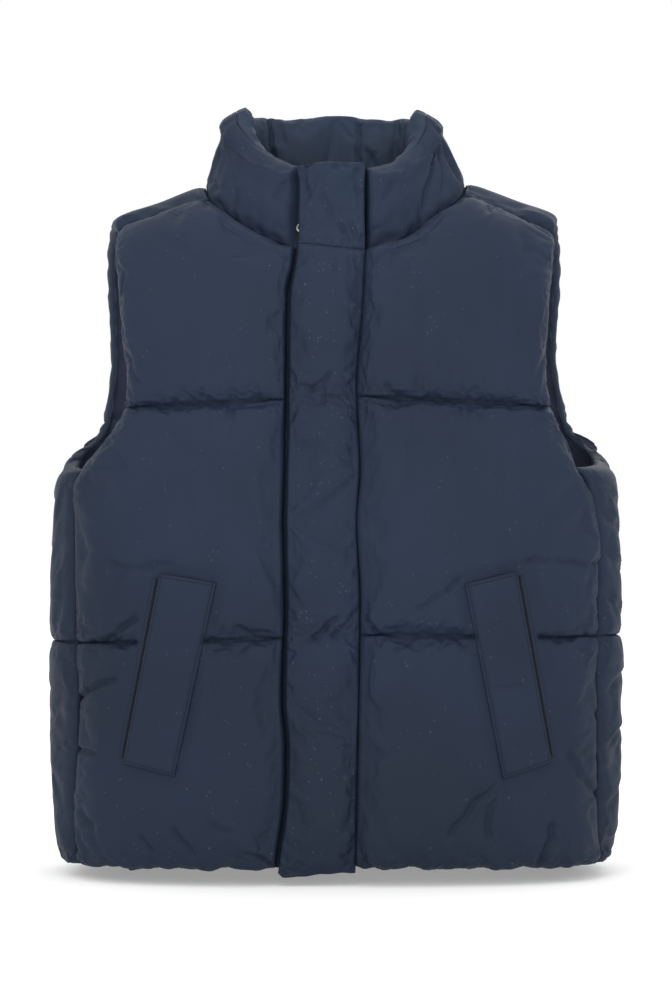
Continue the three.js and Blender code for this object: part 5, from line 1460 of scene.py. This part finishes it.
def solid_mesh(name, corners, faces, joined=False):
    """A smooth closed mesh whose faces all look outward."""
    mesh = bpy.data.meshes.new(name)
    mesh.from_pydata(corners, [], faces)
    made = bmesh.new()
    made.from_mesh(mesh)
    if joined:
        bmesh.ops.remove_doubles(made, verts=made.verts, dist=1e-6)
    bmesh.ops.recalc_face_normals(made, faces=made.faces)
    made.to_mesh(mesh)
    made.free()
    mesh.shade_smooth()
    return mesh


def cloth_lengths(points):
    """Distance along the cloth, across and up, at each point of a grid."""
    across = np.zeros(points.shape[:2])
    up = np.zeros(points.shape[:2])
    across[:, 1:] = np.cumsum(np.linalg.norm(np.diff(points, axis=1), axis=-1), axis=1)
    up[1:] = np.cumsum(np.linalg.norm(np.diff(points, axis=0), axis=-1), axis=0)
    middle = across.shape[1] // 2
    across = across - across[:, middle: middle + 1]
    return np.stack([across, up, np.zeros_like(up)], axis=-1)


def add_object(name, mesh, material):
    thing = bpy.data.objects.new(name, mesh)
    bpy.context.scene.collection.objects.link(thing)
    if mesh.materials:
        mesh.materials[0] = material
    else:
        mesh.materials.append(material)
    return thing


# ---------------------------------------------------------------- materials


def shade(colour, share):
    """A colour made darker, or lighter where the share is over 1."""
    return tuple(min(value * share, 1) for value in colour)


def grey(value):
    """A colour without a tint."""
    return (value,) * 3


# Scales of the nylon's patterns, in waves to a metre or so.
DRIFT_SCALE = 5.0
CRUMPLE_SCALE = 60.0
GRAIN_SCALE = 240.0
WEAVE_SCALE = 620.0
PAINTED_SHADE_HEIGHT = 0.62  # m over which painted shade fades from the hem up, so the colour grows paler
LINT_COLOUR = (0.2, 0.225, 0.26)
# Scale, size, rarity and paleness of the specks.
LINT_KINDS = ((210.0, 0.2, 0.67, 0.15), (125.0, 0.12, 0.77, 0.32))
LINT_SPREAD = 0.17  # how much less rare it is at full lint


class Shading:
    """The shader of a new material, with short ways to add the usual nodes."""

    def __init__(self, name, values):
        self.material = bpy.data.materials.new(name)
        self.material.use_nodes = True
        self.tree = self.material.node_tree
        self.shader = self.tree.nodes["Principled BSDF"]
        self.place = self.tree.nodes.new("ShaderNodeTexCoord").outputs["Object"]
        self.feed(self.shader, values)

    def feed(self, node, values):
        """Gives each named input a plain value, or links it to another node's output."""
        for name, value in values.items():
            if isinstance(value, bpy.types.NodeSocket):
                self.tree.links.new(value, node.inputs[name])
            else:
                node.inputs[name].default_value = (
                    (*value, 1.0) if isinstance(value, tuple) else value)

    def add(self, kind, output, values, **settings):
        node = self.tree.nodes.new(f"ShaderNode{kind}")
        for name, value in settings.items():
            setattr(node, name, value)
        self.feed(node, values)
        return node.outputs[output]

    def noise(self, scale, detail=2.0, roughness=0.5):
        return self.add("TexNoise", "Fac", {
            "Vector": self.place, "Scale": scale, "Detail": detail, "Roughness": roughness})

    def ramp(self, value, *stops):
        found = self.add("ValToRGB", "Color", {"Fac": value})
        elements = found.node.color_ramp.elements
        while len(elements) < len(stops):
            elements.new(0.5)
        for element, (position, colour) in zip(elements, stops):
            element.position = position
            element.color = (*colour, 1.0)
        return found

    def maths(self, operation, a, b):
        return self.add("Math", "Value", {0: a, 1: b}, operation=operation)

    def mixed(self, factor, a, b, blend="MIX"):
        return self.add("Mix", "Result", {"Factor": factor, "A": a, "B": b},
                        data_type="RGBA", blend_type=blend)

    def bump(self, height, strength, distance, **more):
        return self.add("Bump", "Normal", {
            "Height": height, "Strength": strength, "Distance": distance, **more})

    def weave(self):
        """Place along the cloth."""
        return self.add("Attribute", "Vector", {}, attribute_name="weave")

    def part(self, vector, axis):
        return self.add("SeparateXYZ", axis, {0: vector})


def nylon(name, colour, lint, painted_mouth_shade=False):
    """Matt woven nylon: fine weave, slight colour drift, a dull sheen, a few lint specks and
    painted shade that darkens it towards the hem.

    In a pocket's mouth painted shade makes it darker where it goes down under the cloth."""
    made = Shading(name, {
        "Sheen Weight": 0.018, "Sheen Roughness": 0.45, "Sheen Tint": (0.62, 0.7, 0.86),
        "Specular IOR Level": 0.15})
    drift, fine = made.noise(DRIFT_SCALE, 3.0), made.noise(GRAIN_SCALE)
    tone = made.ramp(drift, (0.35, shade(colour, 0.86)), (0.65, shade(colour, 1.14)))
    tone = made.mixed(made.maths("MULTIPLY", fine, 0.16), tone, shade(colour, 0.7))
    # Painted shade: the colour is darker towards the hem, where less light falls.
    height = made.maths("MULTIPLY", made.part(made.place, "Z"), 1 / PAINTED_SHADE_HEIGHT)
    painted_hem_shade = made.ramp(made.maths("ADD", height, 1), (0.02, grey(0.76)), (0.3, grey(0.86)),
                     (0.62, grey(1)))
    tone = made.mixed(1.0, tone, painted_hem_shade, "MULTIPLY")
    if lint:
        for scale, size, rare, pale in LINT_KINDS:
            least = rare - LINT_SPREAD * lint
            spots = made.add("TexVoronoi", "Distance", {"Vector": made.place, "Scale": scale})
            near = made.ramp(spots, (size / 2, grey(1)), (size, grey(0)))
            some = made.noise(scale / 2.3, 1.0)
            some = made.ramp(some, (least, grey(0)), (least + 0.04, grey(1)))
            amount = made.maths("MULTIPLY", made.mixed(1.0, near, some, "MULTIPLY"), pale)
            tone = made.mixed(amount, tone, LINT_COLOUR)
    if painted_mouth_shade:
        # Painted shade in the pocket's mouth: darker across the facing towards the welt, where it
        # goes under the cloth.
        across = made.maths("MULTIPLY", made.part(made.weave(), "X"), 100.0)
        deep = made.ramp(across, (0.12, grey(0.12)), (0.25, grey(1)))
        tone = made.mixed(1.0, tone, deep, "MULTIPLY")
    warp, weft = (
        made.add("TexWave", "Fac", {
            "Vector": made.weave(), "Scale": WEAVE_SCALE, "Distortion": 0.6},
            bands_direction=direction)
        for direction in ("X", "Y"))
    crumple = made.bump(made.noise(CRUMPLE_SCALE, 5.0, 0.6), 0.2, 0.003)
    made.feed(made.shader, {
        "Base Color": tone,
        "Roughness": made.ramp(drift, (0.3, grey(0.54)), (0.7, grey(0.64))),
        "Normal": made.bump(made.maths("ADD", warp, weft), 0.12, 0.0002, Normal=crumple)})
    return made.material


# Thread whose dark colour is partly its own and partly painted shade of the stitches and the
# valleys they lie in.
def thread_with_painted_shade(name, colour):
    made = Shading(name, {"Roughness": 0.7, "Specular IOR Level": 0.25})
    grain = made.noise(1400.0)
    made.feed(made.shader, {
        "Base Color": made.ramp(grain, (0.35, shade(colour, 0.7)), (0.65, shade(colour, 1.3))),
        "Normal": made.bump(grain, 0.3, 0.0002)})
    return made.material


def brushed_metal(name):
    made = Shading(name, {"Metallic": 1.0})
    grain = made.noise(900.0)
    made.feed(made.shader, {
        "Base Color": made.ramp(grain, (0.3, (0.24, 0.25, 0.27)), (0.7, (0.36, 0.37, 0.39))),
        "Roughness": made.ramp(grain, (0.3, grey(0.26)), (0.7, grey(0.38)))})
    return made.material


def pale_floor(name, colour):
    made = Shading(name, {
        "Roughness": 0.9, "Specular IOR Level": 0.0, "Emission Color": grey(1.0),
        "Emission Strength": FLOOR_GLOW})
    grain = made.noise(3.0)
    made.feed(made.shader, {
        "Base Color": made.ramp(grain, (0.3, shade(colour, 0.985)), (0.7, tuple(colour)))})
    return made.material


# ---------------------------------------------------------------- settings


class VestSizes(bpy.types.PropertyGroup):
    """Sizes of the vest that a maker would change."""

    puff: bpy.props.FloatProperty(
        name="Padding", description="Swelling of a quilted channel beyond its stitched wall",
        default=0.02, min=0.005, max=0.03, unit="LENGTH")
    spacing: bpy.props.FloatProperty(
        name="Fineness", description="Distance between points of the cloth",
        default=0.0021, min=0.0015, max=0.01, unit="LENGTH")
    stitch: bpy.props.FloatProperty(
        name="Stitch", description="Distance from one stitch to the next",
        default=0.0028, min=0.002, max=0.005, unit="LENGTH")


class VestColours(bpy.types.PropertyGroup):
    """Colours of the vest and of the floor that it stands on."""

    shell: bpy.props.FloatVectorProperty(
        name="Shell", description="Colour of the outer cloth", subtype="COLOR",
        default=(0.0150, 0.0250, 0.0483), min=0, max=1)
    lining: bpy.props.FloatVectorProperty(
        name="Lining", description="Colour of the inner cloth", subtype="COLOR",
        default=(0.0235, 0.0375, 0.0660), min=0, max=1)
    # Partly the lining's own colour, partly painted light: lighter than the collar's lining, so
    # the inside seen through the armholes looks lit.
    painted_light_body_lining: bpy.props.FloatVectorProperty(
        name="Body lining", description="Colour of the cloth inside the body", subtype="COLOR",
        default=(0.058, 0.070, 0.118), min=0, max=1)
    # Partly the thread's own colour, partly painted shade: darker than the thread to stand for the
    # shadows of the stitches.
    thread: bpy.props.FloatVectorProperty(
        name="Thread", description="Colour of the sewing thread", subtype="COLOR",
        default=(0.006, 0.009, 0.018), min=0, max=1)
    floor: bpy.props.FloatVectorProperty(
        name="Floor", description="Colour of the floor and backdrop", subtype="COLOR",
        default=(0.86, 0.86, 0.86), min=0, max=1)
    lint: bpy.props.FloatProperty(
        name="Lint", description="How much pale lint lies on the cloth", subtype="FACTOR",
        default=0.36, min=0, max=1)


def sizes():
    return bpy.context.scene.vest_sizes


def colours():
    return bpy.context.scene.vest_colours


def spacing():
    return sizes().spacing / MM


# What several operators share, each made the first time it is asked for.
PARTS = {
    "shell": lambda: nylon("shell_nylon", colours().shell, colours().lint),
    "flap": lambda: nylon("flap_nylon", colours().shell, 2.4 * colours().lint),
    "facing": lambda: nylon("facing_nylon", colours().shell, 0, painted_mouth_shade=True),
    "lining": lambda: nylon("lining_nylon", colours().lining, 0),
    "painted_light_body_lining": lambda: nylon("body_lining_nylon", colours().painted_light_body_lining, 0),
    "thread": lambda: thread_with_painted_shade("thread_with_painted_shade", colours().thread),
    "front_right": lambda: Front(
        SIDE_RIGHT, ARMHOLE_FRONT_RIGHT, NECKLINE_RIGHT, FLAPPED_STEPS, True, WELTS["right"],
        FRONT_RIGHT_FOLDS, SEEDS["front_right"]),
    "front_left": lambda: Front(
        SIDE_LEFT, ARMHOLE_FRONT_LEFT, NECKLINE_LEFT, OPEN_STEPS, False, WELTS["left"],
        FRONT_LEFT_FOLDS, SEEDS["front_left"]),
    "back": Back,
    "collar": lambda: Collar.along_seam(
        shared("front_left"), shared("back"), shared("front_right")),
}
_made = {}


def shared(name):
    """A material or a shape by its name in PARTS."""
    if name not in _made:
        _made[name] = PARTS[name]()
    return _made[name]


def place_piece(thing, slot, node=None):
    """Puts a piece on the body and hides the part's node that it stands for; its finish is not
    used.
    """
    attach(thing, "root")
    if node:
        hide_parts(node)


def add_padded(name, inner, outer, cloth, slot, fill, **more):
    """A padded piece in place of the part's plain one."""
    thing = add_object(f"{name}_padded", grid_mesh(f"{name}_cloth", inner, outer, **more), cloth)
    place_piece(thing, slot, name)


def add_sewn(name, side, near, far, cloth, slot):
    """A flat piece sewn on a front."""
    name = f"{name}_{side}"
    thing = add_object(f"{name}_sewn", grid_mesh(f"{name}_cloth", near, far), cloth)
    place_piece(thing, slot, name)


# ---------------------------------------------------------------- operators


class VestOperator(bpy.types.Operator):
    """What the vest's operators share."""

    bl_options = {"REGISTER", "UNDO"}


class VEST_OT_fronts(VestOperator):
    """Make both quilted fronts"""

    bl_idname = "vest.fronts"
    bl_label = "Fronts"

    def execute(self, context):
        for side in ("right", "left"):
            sheet = shared(f"front_{side}")
            add_padded(f"front_{side}", sheet.points, sheet.outer(), shared("shell"), "shell",
                       0.6, lining=shared("painted_light_body_lining"))
        return {"FINISHED"}


class VEST_OT_back(VestOperator):
    """Make the quilted back with its wrapped sides and yoke"""

    bl_idname = "vest.back"
    bl_label = "Back"

    def execute(self, context):
        sheet = shared("back")
        add_padded("back", sheet.inner_side(), sheet.outer(), shared("shell"), "shell", 0.6,
                   covered=sheet.covered, lining=shared("painted_light_body_lining"))
        return {"FINISHED"}


class VEST_OT_collar(VestOperator):
    """Make the padded stand collar's two sides"""

    bl_idname = "vest.collar"
    bl_label = "Collar"

    def execute(self, context):
        ring = shared("collar").finer(COLLAR_STATIONS)
        shares = finer(COLLAR_STEPS, COLLAR_RISE, spacing() * 0.75)
        middle, outward = ring.place(shares), ring.outward_at(shares)
        clear = smoothstep(ring.clear_of_flap(), 0, 8)[None, :]
        for name, out, thick, folds, cloth, slot, open_cloth in (
                ("collar_outer", 1, ring.thickness(shares), COLLAR_FOLDS, shared("shell"),
                 "shell", clear),
                ("collar_inner", -1, ring.lining_thickness(shares), COLLAR_LINING_FOLDS,
                 shared("lining"), "lining", np.ones_like(clear))):
            outer = middle + (out * thick)[..., None] * outward
            held = held_round(outer.shape[:2]) | (open_cloth < 0.01)
            room = COLLAR_ROOM * open_cloth * np.ones(outer.shape[:2])
            outer = swollen(outer, out * outward, held, room)
            depth = ring.relief(shares, folds, SEEDS["collar"] + out) * open_cloth
            depth = np.minimum(depth, thick - COLLAR_LOWEST)
            outer = outer - (out * depth)[..., None] * outward
            add_padded(name, middle + out * SEAM_GAP * outward, outer, cloth, slot, 0.6)
        return {"FINISHED"}


class VEST_OT_flap(VestOperator):
    """Make the storm flap over the front opening and over the collar"""

    bl_idname = "vest.flap"
    bl_label = "Storm flap"

    def execute(self, context):
        for name, lines, (rows, shares, near, far, out), folds in (
                ("placket_lower", (WAIST_LINE, CHEST_LINE), lower_flap_sheets(), FLAP_FOLDS),
                ("placket_upper", (), upper_flap_sheets(shared("collar")), UPPER_FLAP_FOLDS)):
            thick = np.linalg.norm(far - near, axis=-1)
            x, z = far[..., 0], far[..., 2]
            side = np.minimum(shares, 1 - shares)[None, :] * FLAP_WIDTH
            inside = dome(side, 7) * np.ones_like(thick)
            held = held_round(thick.shape)
            held[[index_of(rows, line) for line in lines]] = True
            far = swollen(far, out, held, FLAP_ROOM * inside)
            folds = list(folds)
            for column in (0, -1):
                folds += pinches(
                    far[:, column][:, [0, 2]], SEEDS["flap_sides"] + column, *FLAP_SIDE_PINCHES)
            for row in [0, -1] + [index_of(rows, line) for line in (WAIST_LINE, CHEST_LINE)]:
                folds += pinches(
                    far[row][:, [0, 2]], SEEDS["flap_lines"] + row, *FLAP_LINE_PINCHES)
            depth = fold_depth(folds, x, z) * inside
            depth = depth + 0.5 * inside * ripples(z, x, SEEDS["flap_waves"], 80, 28)
            far = far - np.minimum(depth, thick - LOWEST_PADDING)[..., None] * out
            add_padded(name, near, far, shared("flap"), "shell", 0.4)
        return {"FINISHED"}


def welt_outline(welt):
    """A welt's outline as a place by its shares across and down."""
    corners = [np.array(corner, float) for corner in welt]

    def at(across, down):
        outer = mix(corners[0], corners[3], down[..., None])
        inner = mix(corners[1], corners[2], down[..., None])
        return np.moveaxis(mix(outer, inner, across[..., None]), -1, 0)

    return at


def laid_on_front(sheet, outline, across, down, lift_at, thickness):
    """A flat piece on a front: its near and far sides over a grid of its outline."""
    down, across = np.meshgrid(down, across, indexing="ij")
    x, z = outline(across, down)
    point, normal, lift = place_under(x, z, lambda at: sheet.thickness_at(at) + lift_at(across))
    near = point + lift[..., None] * normal
    return near, near + thickness * normal, normal


def welt_lift(across):
    """How far the welt stands off its front: over the facing at its outer side."""
    return LAY_GAP + (FACING_WALL + LAY_GAP) * (1 - across)


def stitch_bars(points, normals, pitch):
    """Stitches along a line: a short rounded bar for each, with a gap before the next."""
    steps = np.linalg.norm(np.diff(points, axis=0), axis=1)
    along = np.concatenate([[0], np.cumsum(steps)])
    corners, faces = [], []
    ring = ((1, 0), (0.7, 0.75), (0, 1), (-0.7, 0.75), (-1, 0))
    many = len(ring)
    for count in range(int(along[-1] / pitch)):
        stations = (count + np.array([0.12, 0.28, 0.64, 0.8])) * pitch
        spots = np.stack([np.interp(stations, along, points[:, k]) for k in range(3)], 1)
        out = unit(np.array([np.interp(stations[1], along, normals[:, k]) for k in range(3)]))
        side = np.cross(unit(spots[-1] - spots[0]), out)
        base = len(corners)
        for spot, full in zip(spots, (0.45, 1, 1, 0.45)):
            corners += [
                (spot + full * (STITCH_WIDTH / 2 * a * side + STITCH_HEIGHT * b * out)) * MM
                for a, b in ring]
        for start in range(base, base + 3 * many, many):
            faces += [(start + m, start + (m + 1) % many, start + many + (m + 1) % many,
                       start + many + m) for m in range(many)]
        faces += [tuple(base + m for m in reversed(range(many))),
                  tuple(base + 3 * many + m for m in range(many))]
    return corners, faces


def add_stitches(name, rows):
    """One piece of thread for several stitched lines."""
    corners, faces = [], []
    for points, normals in rows:
        more, sides = stitch_bars(points, normals, sizes().stitch / MM)
        faces += [tuple(index + len(corners) for index in side) for side in sides]
        corners += more
    mesh = solid_mesh(f"{name}_thread", [tuple(corner) for corner in corners], faces)
    place_piece(add_object(name, mesh, shared("thread")), "shell")


def runs(points, normals, keep):
    """The stretches of a line where it is kept."""
    inside = np.flatnonzero(keep)
    parts = np.split(inside, np.flatnonzero(np.diff(inside) > 1) + 1)
    return [(points[part], normals[part]) for part in parts if len(part) > 2]


class VEST_OT_pockets(VestOperator):
    """Make the welts and facings of the two hand pockets"""

    bl_idname = "vest.pockets"
    bl_label = "Pockets"

    def execute(self, context):
        for side, welt in WELTS.items():
            sheet, outline = shared(f"front_{side}"), welt_outline(welt)
            width, length = abs(welt[0][0] - welt[1][0]), math.dist(welt[0], welt[3])
            across, down = np.linspace(0, 1, 41), np.linspace(0, 1, 121)
            near, far, normal = laid_on_front(sheet, outline, across, down, welt_lift, WELT_WALL)
            self.shape(side, far, normal, across * width, down * length)
            add_sewn("welt", side, near, far, shared("shell"), "shell")
            inset = index_of(across * width, STITCH_INSET)
            rows = [(far[:, k], normal[:, k]) for k in (inset, -1 - inset)]
            inset = index_of(down * length, STITCH_INSET)
            rows += [(far[k], normal[k]) for k in (inset, -1 - inset)]

            def mouth(across, down):
                return outline((FACING_UNDER - across) * (FACING_WIDTH / width),
                               mix(FACING_INSET, 1 - FACING_INSET, down))

            near, far, normal = laid_on_front(
                sheet, mouth, np.linspace(0, 1, 9), np.linspace(0, 1, 61), lambda _: LAY_GAP,
                FACING_WALL)
            add_sewn("pocket_facing", side, near, far, shared("facing"), "lining")
            add_stitches(f"pocket_stitches_{side}", rows + [(far[:, 6], normal[:, 6])])
        return {"FINISHED"}

    @staticmethod
    def shape(side, far, normal, across, down):
        """Fills the welt a little, sinks its stitched lines and rounds its edges."""
        edge = np.minimum(np.minimum(across, across[-1] - across)[None, :],
                          np.minimum(down, down[-1] - down)[:, None])
        rise = WELT_FULLNESS * dome(edge - STITCH_INSET, 9) * (edge > STITCH_INSET)
        rise = rise - 1.1 * np.exp(-(((edge - STITCH_INSET) / 1.1) ** 2))
        rise = rise - 1.5 * np.exp(-((edge / 1.3) ** 2))
        x, z = far[..., 0], far[..., 2]
        rise = rise + 0.25 * ripples(z, x, SEEDS["welt"], 40, 14) * dome(edge, 6)
        far += (rise - fold_depth(WELT_FOLDS[side], x, z))[..., None] * normal


class VEST_OT_sewing(VestOperator):
    """Make the thread along the quilting lines"""

    bl_idname = "vest.sewing"
    bl_label = "Sewing thread"

    def execute(self, context):
        for side in ("right", "left"):
            sheet, rows = shared(f"front_{side}"), []
            for line in (WAIST_LINE, CHEST_LINE):
                row = sheet.row_index(line)
                points = sheet.outer()[row]
                x, z = points[:, 0], points[:, 2]
                keep = outside_welt(sheet.welt, x, z) > 2
                if sheet.under_flap:
                    keep &= x < flap(z)[0] - 4
                rows += runs(points, sheet.normals[row], keep)
            add_stitches(f"quilting_thread_{side}", rows)
        sheet, rows = shared("back"), []
        for line, keep in ((WAIST_LINE, np.s_[1:-1]),
                           (CHEST_LINE, np.s_[sheet.arm + 1: sheet.last - sheet.arm])):
            row = sheet.row_index(line)
            rows.append((sheet.outer()[row, keep], sheet.normals[row, keep]))
        add_stitches("quilting_thread_back", rows)
        return {"FINISHED"}


class VEST_OT_snap(VestOperator):
    """Make the snap at the flap's free edge by the collar"""

    bl_idname = "vest.snap"
    bl_label = "Snap"

    def execute(self, context):
        height = SNAP_RISE / COLLAR_RISE
        free, _ = flap(front_height(NECK_CORNER) + SNAP_RISE)
        station = shared("collar").at_x(np.array([free + SNAP_RADIUS - SNAP_SHOWING]))
        outward = station.outward_at(height)[0]
        centre = station.place(height)[0] + outward * (SEAM_WALL + LAY_GAP + SNAP_LIFT)
        side = unit(np.cross(outward, UP))
        lift = np.cross(side, outward)
        turns = 40
        corners = []
        for radius, rise in SNAP_PROFILE:
            for k in range(turns):
                angle = FULL_TURN * k / turns
                spot = (centre + outward * rise * SNAP_HEIGHT
                        + radius * SNAP_RADIUS * (side * math.cos(angle) + lift * math.sin(angle)))
                corners.append((spot * MM).tolist())
        number = np.arange(len(corners)).reshape(-1, turns)
        number = np.hstack([number, number[:, :1]])
        faces = squares(number, np.ones((len(SNAP_PROFILE) - 1, turns), bool)).tolist()
        mesh = solid_mesh("snap_metal_cap", corners, faces, joined=True)
        place_piece(add_object("snap_cap", mesh, brushed_metal("snap_metal")), "metal", "snap")
        return {"FINISHED"}


class VEST_OT_stage(VestOperator):
    """Make the floor, the backdrop, the lights and the camera"""

    bl_idname = "vest.stage"
    bl_label = "Stage"

    def execute(self, context):
        scene = context.scene
        floor_z = CAD_BOX[0][2] - FLOOR_BELOW * MM
        turns = 96
        corners = [(0.0, 0.0, floor_z)]
        corners += [(FLOOR_RADIUS * math.cos(FULL_TURN * k / turns),
                     FLOOR_RADIUS * math.sin(FULL_TURN * k / turns), floor_z)
                    for k in range(turns)]
        faces = [(0, k + 1, (k + 1) % turns + 1) for k in range(turns)]
        mesh = bpy.data.meshes.new("floor_disc")
        mesh.from_pydata(corners, [], faces)
        add_object("floor", mesh, pale_floor("floor_paper", colours().floor))
        scene.world = bpy.data.worlds.new("studio")
        scene.world.use_nodes = True
        sky = scene.world.node_tree.nodes["Background"]
        sky.inputs["Color"].default_value = (1.0, 1.0, 1.0, 1.0)
        sky.inputs["Strength"].default_value = SKY_STRENGTH
        for name, place, aim, width, power in LIGHTS:
            data = bpy.data.lights.new(f"{name}_light", "AREA")
            data.size = width
            data.energy = power
            lamp = bpy.data.objects.new(f"{name}_light", data)
            lamp.location = place
            towards = Vector(aim) - Vector(place)
            lamp.rotation_euler = towards.to_track_quat("-Z", "Y").to_euler()
            scene.collection.objects.link(lamp)
        data = bpy.data.cameras.new("view")
        data.lens = CAMERA_LENS
        data.clip_end = 20
        scene.camera = bpy.data.objects.new("view", data)
        scene.camera.location = (0, -CAMERA_BACK, CAMERA_HEIGHT)
        scene.camera.rotation_euler = (QUARTER, 0, 0)
        scene.collection.objects.link(scene.camera)
        scene.view_settings.view_transform = "Standard"
        return {"FINISHED"}


class VEST_PT_panel(bpy.types.Panel):
    """Sizes, colours and steps of the vest"""

    bl_idname = "VEST_PT_panel"
    bl_label = "Vest"
    bl_space_type = "VIEW_3D"
    bl_region_type = "UI"
    bl_category = "Vest"

    def draw(self, context):
        layout = self.layout
        for group in (context.scene.vest_sizes, context.scene.vest_colours):
            for name in group.__annotations__:
                layout.prop(group, name)
        for step in STEPS:
            layout.operator(step.bl_idname)


STEPS = (
    VEST_OT_fronts, VEST_OT_back, VEST_OT_collar, VEST_OT_flap, VEST_OT_pockets, VEST_OT_sewing,
    VEST_OT_snap, VEST_OT_stage,
)
CLASSES = (VestSizes, VestColours, *STEPS, VEST_PT_panel)


def register():
    for cls in CLASSES:
        bpy.utils.register_class(cls)
    bpy.types.Scene.vest_sizes = bpy.props.PointerProperty(type=VestSizes)
    bpy.types.Scene.vest_colours = bpy.props.PointerProperty(type=VestColours)


def unregister():
    del bpy.types.Scene.vest_colours
    del bpy.types.Scene.vest_sizes
    for cls in reversed(CLASSES):
        bpy.utils.unregister_class(cls)


def main():
    register()
    for step in STEPS:
        group, name = step.bl_idname.split(".")
        getattr(getattr(bpy.ops, group), name)()


if __name__ == "__main__":
    main()
